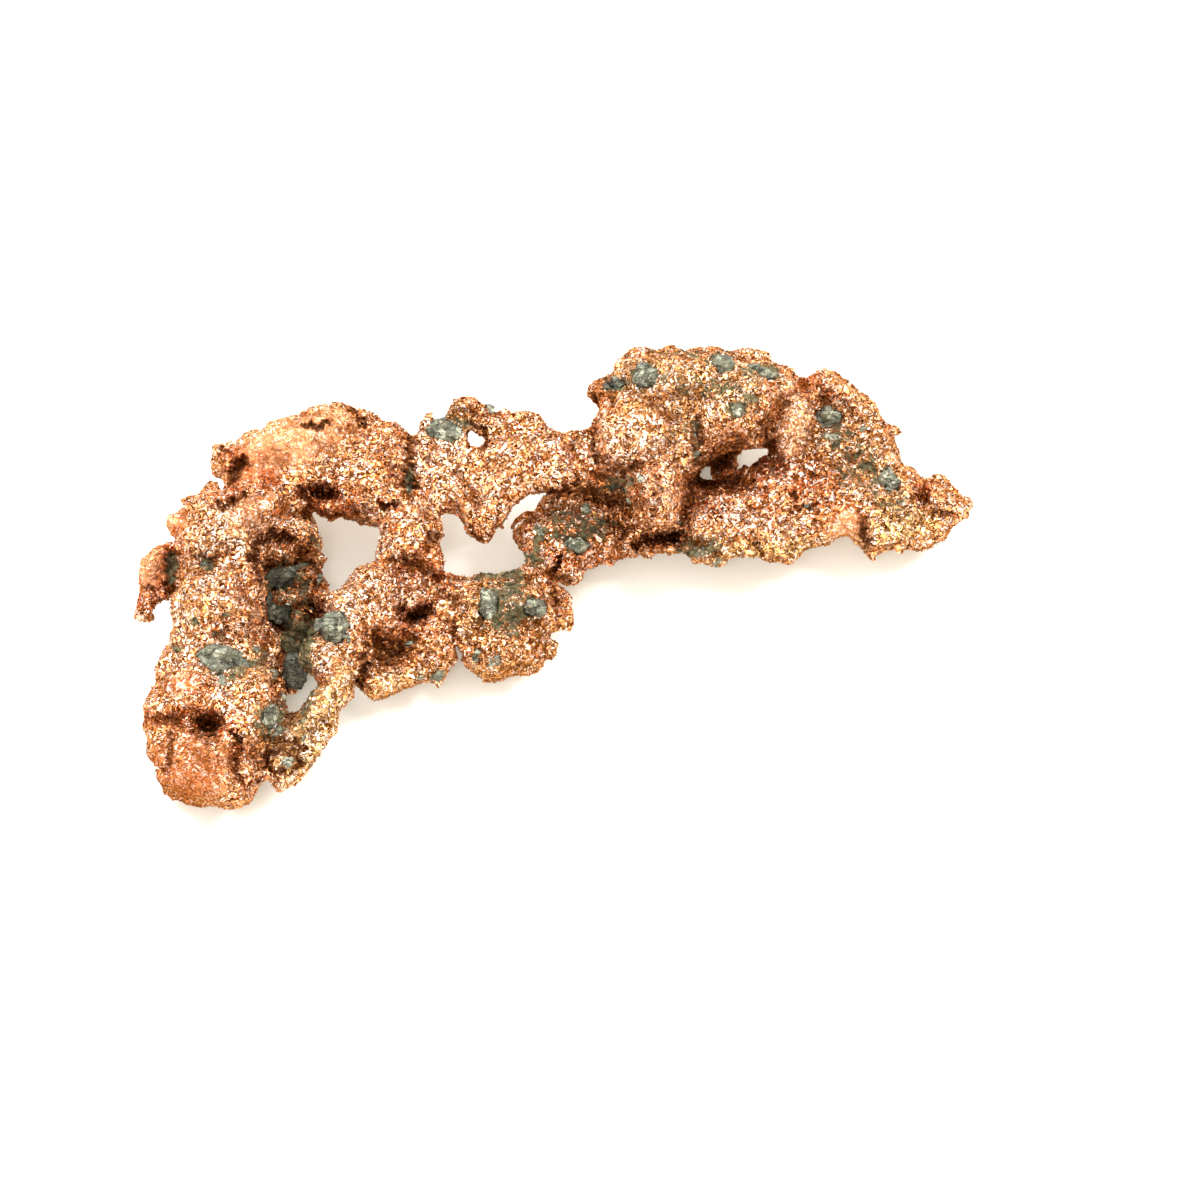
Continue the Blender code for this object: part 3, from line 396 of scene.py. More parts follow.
# Creases and pits in the side that is shown: a line of (across, up), half width, depth (mm) and darkness, the
# strength of the painted shade in them
CREASES = (
    (((-9.6, 28.9), (-8.6, 27.9), (-7.8, 27)), 0.32, 0.2, 0.9),
    (((-25.2, 31.6), (-24.2, 31), (-23, 31.8), (-21.9, 31.3)), 0.55, 0.9, 1),
    (((-24.6, 30.1), (-23.2, 29.5), (-21.2, 29.2)), 0.55, 0.1, 0.8),
    (((-38.4, 25.4), (-38.2, 23.8), (-38.4, 22)), 0.45, 0.8, 1),
    (((-40, 21.9), (-41.2, 22)), 0.25, 0.3, 0.7),
    (((-28.6, 22.2), (-27.2, 22.2), (-26.2, 22.6)), 0.25, 0.3, 0.8),
    (((-24.2, 20.8), (-23.6, 19.8), (-23.4, 19.2)), 0.6, 0.6, 1),
    (((-25, 38.3), (-23.6, 38.15), (-22.6, 38.7)), 0.3, 0.6, 1),
    (((-32.5, 32.5), (-32, 33.5), (-31.4, 34.5)), 0.65, 1, 1),
    (((-33.4, 36.3), (-32.3, 35.2)), 0.3, 0.4, 0.7),
    (((-33.9, 30.4), (-32.9, 30.1), (-32.2, 30.7), (-30.9, 31.2)), 0.32, 0.7, 0.9),
    (((-26.6, 27), (-28.4, 27.3), (-29.8, 26.5), (-30.2, 25.2), (-29.6, 24.2), (-28.4, 23.8)), 0.45, 1, 1),
    (((-28.4, 23.9), (-26.6, 24.2), (-25, 24.5), (-23.4, 23.7)), 0.5, 0.9, 1),
    (((-26.2, 25.4), (-25.2, 25.6), (-24.2, 26.6)), 0.35, 0.5, 0.8),
    (((-24.3, 19.6), (-24, 19)), 1, 1.6, 1),
    (((-29.8, 23.8), (-29.2, 22.4), (-28, 21.7), (-26.4, 21.9)), 0.32, 0.6, 0.9),
    (((-28.6, 20.4), (-27.6, 18.6), (-26.4, 17), (-26.8, 15.8)), 0.5, 0.8, 1),
    (((-27.5, 15.5), (-27.5, 13), (-26.8, 12)), 0.28, 0.45, 0.8),
    (((-26, 16.5), (-24.8, 17.5), (-24.2, 18.4)), 0.6, 0.8, 1),
    (((-25.6, 21.8), (-24.4, 22.6), (-23.4, 22.4)), 0.45, 0.5, 0.8),
    (((-35.1, 23.8), (-34.5, 24)), 0.75, 0.6, 0.8),
    (((-35.9, 25.2), (-34.2, 24.8), (-32.6, 25.4)), 0.32, 0.4, 0.6),
    (((-35.6, 18.7), (-35.5, 18.6)), 0.45, 0.35, 0.8), (((-32.7, 19.3), (-32.5, 19.2)), 0.5, 0.3, 0.6),
    (((-33.6, 17.3), (-32.4, 17.7)), 0.45, 0.25, 0.6), (((-37.8, 16), (-37.5, 15.8)), 0.4, 0.25, 0.6),
    (((-40.4, 9), (-38.6, 8.7), (-37.2, 9.2), (-35.6, 9.4)), 0.6, 0.5, 0.5),
    (((-34.7, 8.4), (-34.2, 8)), 0.95, 1.2, 1),
    (((-31.8, 7.8), (-31.1, 6.4), (-31.5, 4.8), (-31.5, 3.4), (-30.6, 2.5), (-29.3, 2.9)), 0.26, 0.6, 0.85),
    (((-37.9, 7.6), (-37.9, 5.2), (-38.4, 3.8)), 0.28, 0.3, 0.5),
    (((-28.4, 5.6), (-27.2, 6), (-25.6, 5.6), (-25.2, 4.6), (-26, 3.8), (-27.4, 3.7), (-28.5, 4.4),
     (-28.4, 5.6)), 0.3, 0.45, 0.9),
    (((-27.6, 6.7), (-25.8, 6.6), (-24.8, 6.2)), 0.32, 0.4, 0.6), (((-29, 7.4), (-28, 7)), 0.3, 0.4, 0.7),
    (((-25.1, 16.6), (-24.9, 14.6), (-24.3, 13.1)), 0.3, 0.6, 0.9),
    (((-20.4, 40.2), (-19.9, 39.2), (-19.1, 38.2)), 0.35, 0.7, 1),
    (((-14.4, 37.4), (-14.7, 35.8), (-14.5, 34.2), (-14.6, 33), (-14.2, 31.2)), 0.38, 0.6, 0.75),
    (((-14.8, 32.4), (-14.5, 31.8)), 0.7, 0.7, 1),
    (((-17.4, 30.4), (-16.7, 30.15), (-15.9, 30.2)), 0.32, 0.9, 1),
    (((-17, 34.8), (-16.2, 34), (-16.4, 33.2)), 0.45, 0.3, 0.5),
    (((-7.1, 36), (-6.9, 37.2), (-7.4, 38.1), (-8.6, 38.3)), 0.32, 0.45, 0.8),
    (((-9.8, 33.8), (-9, 32.2), (-8.2, 31.2), (-7.7, 29.8)), 0.3, 0.2, 0.2),
    (((-12.8, 26), (-12.5, 27), (-11.7, 27.4)), 0.38, 0.55, 0.8),
    (((-14.8, 24.4), (-13.2, 24), (-12, 23.1)), 0.65, 0.8, 0.9),
    (((-16.6, 24.7), (-15.2, 25), (-13.8, 25.2)), 0.32, 0.4, 0.6),
    (((-15.3, 19.7), (-14.5, 19), (-13.5, 19.2), (-12.8, 19.9)), 0.55, 1.4, 1),
    (((-18, 16.8), (-17, 15.3), (-15.5, 15.6), (-14.6, 16.6)), 0.85, 0.8, 0.8),
    (((-18.9, 15.2), (-19, 13.4), (-19.6, 12.2)), 0.4, 0.8, 1),
    (((-16.8, 14.4), (-15.2, 14.9), (-13.6, 15.5)), 0.28, 0.45, 0.7),
    (((-10.2, 18.6), (-10, 17)), 0.35, 0.5, 0.7),
    (((-11.4, 21.4), (-10.4, 21), (-9.8, 20.2)), 0.35, 0.45, 0.6),
    (((-7.2, 22), (-6.9, 20.4), (-7.2, 18.8)), 0.5, 0.45, 0.8),
    (((-8, 23.2), (-6, 23.6), (-4, 23.4), (-2.6, 22.8)), 0.4, 0.4, 0.9),
    (((-3.6, 19), (-2.6, 18.2), (-1.6, 18.4)), 0.5, 0.45, 0.8),
    (((-7.9, 15.9), (-7.6, 15)), 0.45, 0.35, 0.8), (((-0.4, 23.6), (0, 21), (0.2, 18.6)), 0.28, 0.5, 0.7),
    (((5.3, 43.7), (5.2, 42.3), (5.9, 41)), 0.38, 0.5, 0.8), (((4.2, 41.4), (4.4, 41)), 0.45, 0.6, 0.8),
    (((3.9, 38.4), (4, 36.6), (4.2, 35.2), (5.2, 34.2), (7, 33.7), (8.6, 34.3)), 0.38, 0.8, 0.7),
    (((4.6, 33.2), (6, 32.8), (7.2, 32.6)), 0.6, 0.6, 0.7),
    (((9.6, 34.2), (10.4, 32.6), (10.2, 30.4), (9.2, 28.4)), 0.32, 0.45, 0.4),
    (((14.2, 38.8), (14.3, 36.5), (13.9, 34.2)), 0.36, 0.6, 0.6),
    (((13.4, 33.2), (13.6, 31.6), (12.9, 29.4), (12.8, 28.2)), 0.4, 0.7, 0.7),
    (((-2.2, 31.2), (-0.4, 31.6), (1.2, 31.8)), 0.24, 0.9, 1),
    (((2.4, 32.4), (4.5, 31), (6.5, 30.6), (8.4, 30.3)), 0.6, 0.6, 0.8),
    (((5.4, 28.7), (6.6, 28), (7.6, 27.6)), 0.5, 0.6, 0.9),
    (((8.4, 26.4), (10, 26.9), (11.4, 27), (12.8, 27.2)), 0.55, 1.3, 1),
    (((14.4, 34.5), (17, 35.6), (18.5, 36.5), (20.2, 37.4)), 0.5, 0.2, 0.8),
    (((14, 32.4), (15.6, 32.2), (17.4, 32.6), (19.4, 33)), 0.7, 0.4, 0.9),
    (((16.2, 34), (17.6, 35.2), (18.6, 35.6)), 0.9, 0, 0.9),
    (((20.9, 38.6), (21, 37.2), (21.6, 36.2)), 0.5, 0.6, 1),
    (((22.9, 41), (21.7, 39.4), (20.9, 37.8)), 0.5, 0.4, 0.4), (((24.6, 43), (25, 41.8)), 0.4, 0.4, 0.6),
    (((26.8, 42), (27.2, 41)), 0.45, 0.4, 0.8), (((18, 40.4), (18.5, 40)), 0.5, 0.4, 0.8),
    (((0.55, 25.1), (0.2, 24.3), (0, 23.7)), 0.22, 0.9, 1),
    (((-1.2, 23.8), (0, 23), (1.6, 22.7)), 0.28, 0.5, 0.8), (((36.8, 31.6), (37.1, 30.9)), 0.6, 0.8, 0.8),
    (((37.2, 30.2), (38.6, 29.6), (39.8, 29.4)), 0.35, 0.35, 0.5),
    (((30.8, 28.9), (30.9, 27.4), (31.4, 26.1)), 0.42, 0.5, 0.8),
    (((24.2, 30.1), (25.2, 30), (26, 30.4)), 0.25, 0.4, 0.8), (((23.9, 31.3), (24.1, 31.1)), 0.35, 0.5, 1),
    (((25.9, 33.6), (26.1, 33.4)), 0.3, 0.4, 0.9),
    (((29.8, 35.2), (31.4, 34.4), (32.6, 33.2)), 0.4, 0.35, 0.6),
    (((33.2, 29.4), (34.8, 28.9), (36, 28.4)), 0.3, 0.3, 0.4),
    (((20.2, 26.4), (20.6, 25.4)), 0.4, 0.35, 0.7),
    (((13.8, 26.6), (15.2, 26.2), (16, 25.4)), 0.4, 0.4, 0.7),
)

# Low ridges on the side that is shown: a line of (across, up), half width and height in mm
RIDGES = (
    (((-24.9, 38.9), (-23, 39.3)), 0.5, 0.35), (((-33.5, 31.2), (-31.5, 31.9), (-29.8, 32.7)), 0.8, 0.5),
    (((-31, 28.8), (-30.5, 24), (-29.8, 20), (-29.4, 17.6)), 1, 0.45),
    (((-26.3, 7.8), (-24.4, 10), (-22, 12.6), (-20, 14.8)), 0.8, 0.4),
    (((-36.8, 28.6), (-35.4, 27), (-34.8, 25.9)), 0.9, 0.4),
    (((-11.8, 39.5), (-10, 40.2), (-8.6, 40.6), (-7.2, 39.9)), 0.5, 0.35),
    (((-10.8, 33.6), (-9.9, 31.6), (-9, 30.2)), 0.6, 0.3),
    (((-12.4, 13.9), (-15, 12.8), (-17.6, 11.9)), 0.8, 0.35),
    (((17.2, 28.8), (20.4, 27.4), (25, 27), (27.6, 27.4)), 0.6, 0.35),
    (((26.2, 41.4), (28.4, 42.6), (30.6, 41), (32.2, 39.4)), 0.7, 0.35),
    (((10.9, 33.8), (11.6, 31.4), (11.4, 29.2)), 1, 0.5),
)

# Where the metal is smooth: (across, up, half width, half height, turn in degrees, strength)
CALM_PLACES = (
    (-26.5, 37.4, 4.6, 2.2, 12, 0.8), (29.2, 28, 1.7, 2.2, 0, 0.8), (-38, 28.6, 1, 1.2, 0, 0.8),
    (-36.8, 12.6, 1.6, 1.2, 0, 0.6), (-27, 36.3, 7, 2.6, 22, 1), (-35.5, 4, 4, 3.4, 0, 0.6),
    (-40.2, 24, 1.6, 2.4, -15, 0.7), (23.8, 38, 1.4, 3.4, -12, 0.5), (-30.5, 29.3, 3, 1.8, 30, 0.4),
    (-24, 10, 1.4, 6, -33, 0.3),
)

# Where the metal has each tint, in the same way
TINTS = {
    "gold": (
        (14, 42.5, 7.5, 3, 0, 0.35), (-5, 19, 5, 5, 0, 0.3), (-23.6, 8.5, 2, 7.5, -33, 1),
        (-15.5, 12.3, 5, 1.4, 15, 0.5), (-5, 13.5, 6, 1.8, 5, 0.5), (34.5, 28.4, 4, 2, 10, 0.9),
        (22, 25.8, 8, 1.2, 2, 0.8), (0, 17, 1.6, 3, 0, 0.4),
    ),
    # Pale places get a lighter painted sheen and more painted glints.
    "pale": (
        (-31.2, 27.8, 3.4, 3.6, 0, 1), (-40.4, 23.4, 1.4, 2, 0, 1), (-15.5, 21, 2.8, 2.6, 0, 1),
        (-11, 34.5, 4, 3, -30, 1), (-31.5, 28.5, 4.5, 2.2, 20, 1), (-33, 26.5, 3.2, 3.4, 0, 0.8),
        (-37, 16.5, 2, 4.5, 10, 1), (-33, 21.5, 2.5, 3.5, 0, 0.7), (7, 36.5, 3.4, 2.6, 0, 1),
        (14.5, 41, 5, 2, 10, 0.6), (23.8, 38, 1.9, 3.8, -12, 1), (20, 28.5, 7, 1.4, 0, 0.8),
        (30, 27, 3, 1.6, 10, 0.9), (-21, 20.5, 3, 2.4, 30, 0.8), (-22.8, 14.6, 1.7, 1.5, 0, 1),
        (-23.2, 9.2, 1.3, 6, -35, 0.8), (-17.5, 27.5, 2, 3.5, 0, 0.6), (10.8, 31, 1.6, 3, 0, 0.7),
        (1.5, 35.5, 2.4, 1.8, 0, 0.7), (-4, 17, 2.6, 1.8, 0, 0.5),
    ),
    # Duller, darker places: partly the metal's own tone, partly painted shade where the metal lies in shade.
    "dull": (
        (-36, 4, 5, 4.2, 0, 1), (-37, 9, 5, 1.8, 0, 0.8), (-40, 22.5, 2.2, 4.4, 0, 0.5),
        (-33, 34.5, 1.8, 1.8, 0, 0.8), (-26.2, 25.6, 2.6, 2.4, 0, 0.9), (-25.5, 20, 2.5, 4, 0, 0.7),
        (-22.8, 30, 3, 1.4, 0, 0.8), (-15, 17.5, 4.5, 4.5, 0, 0.6), (-4, 17.5, 4.5, 5.5, 0, 0.6),
        (3, 28, 6.5, 3.6, 0, 0.8), (8, 26.5, 6, 1, 0, 0.8), (4.2, 41.5, 1.6, 2, 0, 0.8),
        (16.5, 37.2, 3.2, 2, 15, 0.5), (17.5, 33.8, 4.5, 1.8, 20, 1), (29.8, 36.5, 2.8, 3, 30, 0.5),
        (14, 45.4, 8, 0.9, 0, 0.4), (21.6, 40.4, 0.7, 2.2, -10, 0.5), (-9, 39.8, 3, 1.4, -15, 0.5),
        (-7, 27.5, 1.6, 1.4, 0, 0.6), (2, 26, 6, 2.6, -8, 0.6), (30, 43.6, 3.4, 1.3, -28, 0.6),
        (-13, 25, 3, 1.6, 0, 0.6),
    ),
    "red": (
        (-31.5, 32.3, 3.6, 1, 22, 1), (-22.6, 30.2, 3, 1.2, -8, 1), (-36, 12.8, 2.6, 1.6, 0, 1),
        (-41, 20.6, 1.6, 1.2, 0, 1), (-36, 9.4, 5, 1.2, 0, 0.9), (-14, 22.5, 3, 2, 0, 0.6),
        (-31.8, 34.4, 1.6, 1.5, 0, 1), (-34, 8.7, 3.2, 1.3, 0, 1), (-34.5, 12.5, 2.4, 1.8, 0, 0.5),
        (-23, 31, 3, 1.3, -8, 1), (18, 34, 4, 1.6, 18, 0.7), (-14, 19, 2.4, 1.8, 0, 0.8),
        (3, 28, 5, 2.4, 0, 0.6), (0, 34.5, 3, 2, 0, 0.5), (-39.8, 22, 1.8, 3, 0, 0.7),
        (37, 31.5, 1.4, 1.5, 0, 0.8), (20, 29.5, 7, 2.5, 0, 0.35), (29, 29.5, 2.4, 2.4, 0, 0.4),
        (-36, 4.5, 4, 3.5, 0, 0.35), (-28.5, 32.5, 2, 1, 25, 0.6), (2, 25.5, 5, 2, -8, 0.9),
        (21.2, 41.8, 0.9, 3, -30, 1), (25.5, 42.6, 1.6, 1.4, 0, 1), (24, 33, 6, 2.2, 0, 0.7),
        (-11.5, 24, 3.4, 1.8, 0, 0.8), (-38, 26.5, 1.2, 3, -20, 0.6),
    ),
    "olive": (
        (10, 43.5, 6.5, 2.4, 0, 0.8), (19.5, 42, 3.2, 3.4, 0, 0.9), (12.6, 37.5, 1.8, 3.4, 0, 0.8),
        (30, 36.5, 3.6, 5, 30, 0.9), (34.5, 30, 3.4, 1.6, -20, 0.6), (3, 28.5, 5.5, 3.4, 0, 0.9),
        (-5, 19.5, 4.6, 4.6, 0, 0.9), (-15.5, 14.5, 4, 2.4, 0, 0.6), (-26, 25, 3.2, 3.4, 0, 1),
        (-25, 17, 2.6, 4, 0, 1), (-31, 14, 4, 2.6, 0, 0.7), (-27, 7.5, 3.2, 3, 0, 0.8),
        (-37, 20.5, 1.2, 3.5, 0, 0.5), (-35, 24.5, 2, 1.4, 0, 0.6), (-10.5, 39.2, 3.4, 1.8, -20, 0.8),
        (-40.5, 24.5, 1.4, 2.2, 0, 0.6), (-23, 5.5, 2.4, 2.4, 0, 0.6), (14.5, 26.2, 3.4, 1.6, 0, 0.9),
    ),
    "crust": (
        (6.3, 42.6, 1.8, 1.2, 0, 0.8), (8.9, 43.5, 2.1, 1.9, 0, 0.7), (16.6, 45, 1.9, 1.2, 0, 0.8),
        (20.8, 43.8, 2.6, 1.1, -10, 0.9), (18.2, 39.9, 1.5, 1.3, 0, 0.9), (12.4, 37.6, 1.5, 1.6, 0, 0.6),
        (6.4, 32.4, 2.6, 1.2, 0, 0.8), (-5.5, 23.4, 3.2, 0.9, 5, 1), (-1.4, 27.4, 1, 1.8, 0, 1),
        (-14.6, 32.6, 0.6, 1.8, 0, 1), (-38.3, 24, 0.7, 2.2, 0, 1), (-35.7, 18.6, 0.5, 0.5, 0, 1),
        (-32.6, 19.3, 0.6, 0.5, 0, 1), (-37.6, 15.9, 0.5, 0.4, 0, 1), (-33.2, 17.4, 0.8, 0.5, 0, 1),
        (-34.8, 24.2, 1, 0.8, 0, 1), (-26.5, 22.5, 2.6, 3.2, 20, 0.8), (-25.6, 17, 2.4, 3.6, 10, 1),
        (-24.7, 11.4, 1.1, 3.6, -8, 0.9), (-28.4, 26, 2.6, 1.6, -30, 0.5), (-31.3, 14.3, 3.6, 2.2, 8, 0.8),
        (-27.8, 8.8, 2.4, 2.2, 0, 0.8), (-3.5, 24.8, 4, 1, -4, 0.9), (-5, 20, 3.4, 3.6, 0, 0.95),
        (-22.5, 4.5, 3.4, 1.8, 10, 0.6), (-10, 39, 3, 1.8, -25, 0.7), (28.8, 36.6, 2.2, 3, 30, 0.75),
        (31.6, 34.4, 2.2, 3.4, 30, 0.68), (33.5, 31, 3, 2, -35, 0.6), (15.5, 42, 7, 1.4, -10, 0.7),
        (2, 27.8, 5, 2.8, 0, 0.8), (14.5, 26, 3, 1.2, 0, 0.8), (14.2, 36.5, 0.6, 2.8, 0, 0.8),
        (29.5, 33.2, 1.6, 2.6, 25, 0.75), (35, 29.5, 1.8, 1, -30, 0.7), (13, 45.6, 4, 0.8, 0, 0.7),
        (-24, 27.5, 1.6, 2, 0, 0.6),
    ),
}


def zone(points, places):
    """How much each point lies in the listed places, 0 to 1, with uneven borders."""
    across, up = layout_of(points)
    wander = np.sin(across * 1.7 + up * 0.9)
    wander = wander + np.sin(across * 0.8 - up * 2.1 + 1.3) + np.sin(up * 3.1 + across * 2.3)
    total = np.zeros(len(points))
    for place_across, place_up, half_width, half_height, turn, strength in places:
        cos, sin = math.cos(math.radians(turn)), math.sin(math.radians(turn))
        right = (across - place_across) * cos + (up - place_up) * sin
        rise = (up - place_up) * cos - (across - place_across) * sin
        reach = np.sqrt((right / half_width) ** 2 + (rise / half_height) ** 2)
        share = np.clip(ZONE_FULL + ZONE_FADE - reach + ZONE_WANDER * wander, 0.0, 1.0)
        total = np.maximum(total, eased(share, strength))
    return total


def skin_spot(skin, across, up):
    """The point of the skin that is seen at (across, up), or level with the nearest skin beside it."""
    for reach in (0.0, 0.4, 0.8, 1.2, 1.6, 2.0, 2.6):
        for turn in TWELVE_STEPS if reach else (0.0,):
            start = at(across + reach * math.cos(turn), up + reach * math.sin(turn), MID_HEIGHT, IN_FRONT)
            spot = skin.ray_cast(start, -TOWARD)[0]
            if spot is not None:
                origin = at(across, up, 0.0)
                return origin + TOWARD * (spot - origin).dot(TOWARD)
    raise RuntimeError(f"No metal near {across}, {up}")


def fuse_lumps(copper):
    """Joins the lumps to the metal's mesh as loose shells, which the next remesh fuses."""
    skin = skin_tree()
    bm = bmesh.new()
    bm.from_mesh(copper.data)
    for across, up, half_width, half_height, half_depth, turn, lift in LUMPS:
        made = bmesh.ops.create_icosphere(bm, subdivisions=3, radius=1.0)["verts"]
        spot = skin_spot(skin, across, up) + TOWARD * (lift - half_depth * 0.5) * MM
        sizes = Matrix.Diagonal((half_width * MM, half_height * MM, half_depth * MM, 1.0))
        spin = Matrix.Rotation(math.radians(turn), 4, "Z")
        bmesh.ops.transform(bm, matrix=Matrix.Translation(spot) @ SHOW_AXES @ spin @ sizes, verts=made)
    bm.to_mesh(copper.data)
    bm.free()


def cut_notches(copper):
    """Cuts each notch right through the metal, along the way it is seen."""
    bm = bmesh.new()
    for outline in NOTCHES:
        near, far = (
            [bm.verts.new(at(across, up, MID_HEIGHT, side * CUT_REACH)) for across, up in outline]
            for side in (1.0, -1.0)
        )
        bm.faces.new(near)
        bm.faces.new(reversed(far))
        for here in range(len(outline)):
            there = (here + 1) % len(outline)
            bm.faces.new((near[there], near[here], far[here], far[there]))
    bmesh.ops.recalc_face_normals(bm, faces=bm.faces)
    cutter = object_from(bm, "cutter")
    cut = copper.modifiers.new("Cut notches", "BOOLEAN")
    cut.operation, cut.solver, cut.object = "DIFFERENCE", "MANIFOLD", cutter
    apply_modifiers(copper)
    bpy.data.meshes.remove(cutter.data)


def reach_of(across, up, line):
    """How far each point lies from a line of (across, up) places, in mm."""
    nearest = np.full(len(across), np.inf)
    for (x0, y0), (x1, y1) in zip(line, line[1:]):
        run, rise = x1 - x0, y1 - y0
        along = np.clip(((across - x0) * run + (up - y0) * rise) / (run * run + rise * rise), 0.0, 1.0)
        nearest = np.minimum(nearest, np.hypot(across - x0 - along * run, up - y0 - along * rise))
    return nearest


def faded(reach, half_width):
    """1 on the line, easing to 0 at twice its half width."""
    return eased(np.clip(1.0 - reach / (2.0 * half_width), 0.0, 1.0))


def crease_skin(mesh):
    """Presses creases in and raises ridges on the shown side, and notes the creases' painted shade and the
    undersides, which get painted shade too.
    """
    points = points_of(mesh)
    normals = np.empty(len(points) * 3, dtype=np.float32)
    mesh.vertex_normals.foreach_get("vector", normals)
    normals = normals.reshape(-1, 3)
    toward = np.array(TOWARD)
    facing = np.clip((normals @ toward) * 3.0, 0.0, 1.0)
    across, up = layout_of(points)
    # The lines wander a little, so that their edges look torn.
    wander_across = across + 0.16 * np.sin(up * 5.1) + 0.10 * np.sin(up * 11.3 + across * 3.1)
    wander_up = up + 0.16 * np.sin(across * 4.7) + 0.10 * np.sin(across * 12.1 - up * 2.3)
    push, dark = np.zeros(len(points)), np.zeros(len(points))
    for line, half_width, depth, darkness in CREASES:
        share = faded(reach_of(wander_across, wander_up, line), half_width)
        push = np.minimum(push, -depth * share)
        dark = np.maximum(dark, darkness * share)
    for line, half_width, height in RIDGES:
        push = push + height * faded(reach_of(wander_across, wander_up, line), half_width)
    set_points(mesh, points + (push * facing * MM)[:, None] * toward)
    # Undersides and steep sides, which get painted shade.
    set_attribute(mesh, "flank", np.clip((0.2 - normals[:, 2]) / 0.6, 0.0, 1.0))
    # How much painted shade each crease and pit gets.
    set_attribute(mesh, "dark", dark * facing)


def relief_tree():
    """Pushes the skin in and out along its normals: swells, and hackly facets at two sizes."""
    tree, given, result = geometry_tree(
        "Hackly relief", "Swell Size", "Swell Depth", "Ledge Size", "Ledge Depth",
        "Grain Size", "Grain Depth", "Ragged Edges",
    )
    place = position_in_mm(tree)
    normal = add(tree, "GeometryNodeInputNormal").outputs[0]
    swell = minus(tree, noise(tree, place, per(tree, given["Swell Size"])), 0.5)
    ledge = tilted_facets(tree, place, per(tree, given["Ledge Size"]), 1.6)[0]
    grain = tilted_facets(tree, place, per(tree, given["Grain Size"]), 1.6)[0]
    level = math_node(tree, "ABSOLUTE", combined(tree, "DOT_PRODUCT", normal, TOWARD, "Value"))
    edge = times(tree, ramp(tree, level, 0.0, 0.6, 1.0, 0.0), given["Ragged Edges"])
    lively = plus(tree, minus(tree, 1.0, times(tree, calm_places(tree), 0.6)), edge)
    hackly = plus(tree, times(tree, ledge, given["Ledge Depth"]), times(tree, grain, given["Grain Depth"]))
    lift = plus(tree, times(tree, hackly, lively), times(tree, swell, given["Swell Depth"]))
    push_out(tree, given, result, normal, times(tree, lift, MM))
    return tree


def hollow_tree():
    """Stores how far each point lies inside its blurred neighbourhood, in mm: fine and broad."""
    tree, given, result = geometry_tree("Hollows")
    place = add(tree, "GeometryNodeInputPosition").outputs[0]
    normal = add(tree, "GeometryNodeInputNormal").outputs[0]
    shape = given["Geometry"]
    for name, rounds in HOLLOW_ROUNDS.items():
        inputs = {"Value": place, "Iterations": rounds}
        blurred = add(tree, "GeometryNodeBlurAttribute", inputs, data_type="FLOAT_VECTOR").outputs[0]
        gap = combined(tree, "SUBTRACT", blurred, place)
        depth = times(tree, combined(tree, "DOT_PRODUCT", gap, normal, "Value"), 1 / MM)
        inputs = {"Geometry": shape, "Name": name, "Value": depth}
        stored = add(tree, "GeometryNodeStoreNamedAttribute", inputs, data_type="FLOAT", domain="POINT")
        shape = stored.outputs[0]
    tree.links.new(shape, result[0])
    return tree


def grain_group():
    """Fine hackly grain: the height of its facets, its dark seams, the streaks where highlights are painted,
    and its mottle.
    """
    tree = bpy.data.node_groups.new("Hackly grain", "ShaderNodeTree")
    tree.interface.new_socket("Place", in_out="INPUT", socket_type="NodeSocketVector")
    tree.interface.new_socket("Grains Per MM", in_out="INPUT", socket_type="NodeSocketFloat")
    given = tree.nodes.new("NodeGroupInput").outputs
    place, fineness = given["Place"], given["Grains Per MM"]
    facets, cells, _ = tilted_facets(tree, place, fineness, 2.2)
    crumb = noise(tree, place, times(tree, fineness, 2.2), Roughness=0.6)
    wrinkle = noise(tree, place, times(tree, fineness, 0.52), 1.5, Distortion=1.3)
    fold = contour(tree, wrinkle, 0.5)
    height = plus(tree, facets, times(tree, crumb, 0.4))
    elsewhere = combined(tree, "ADD", place, (7.3, 2.9, 5.1))
    gleam = noise(tree, elsewhere, times(tree, fineness, 0.52), 1.5, Distortion=1.4)
    made = {
        "Height": plus(tree, height, ramp(tree, fold, 0.0, 0.09, 0.0, 0.8)),
        "Seams": ramp(tree, fold, 0.08, 0.038),
        "Streaks": ramp(tree, contour(tree, gleam, 0.52), 0.085, 0.04),
        "Shade": add(tree, "ShaderNodeSeparateColor", {0: cells.outputs["Color"]}).outputs[2],
        "Mottle": noise(tree, place, 0.42, 5.0, Roughness=0.68, Distortion=0.4),
    }
    for label in made:
        tree.interface.new_socket(label, in_out="OUTPUT", socket_type="NodeSocketFloat")
    set_inputs(tree, tree.nodes.new("NodeGroupOutput"), made)
    return tree


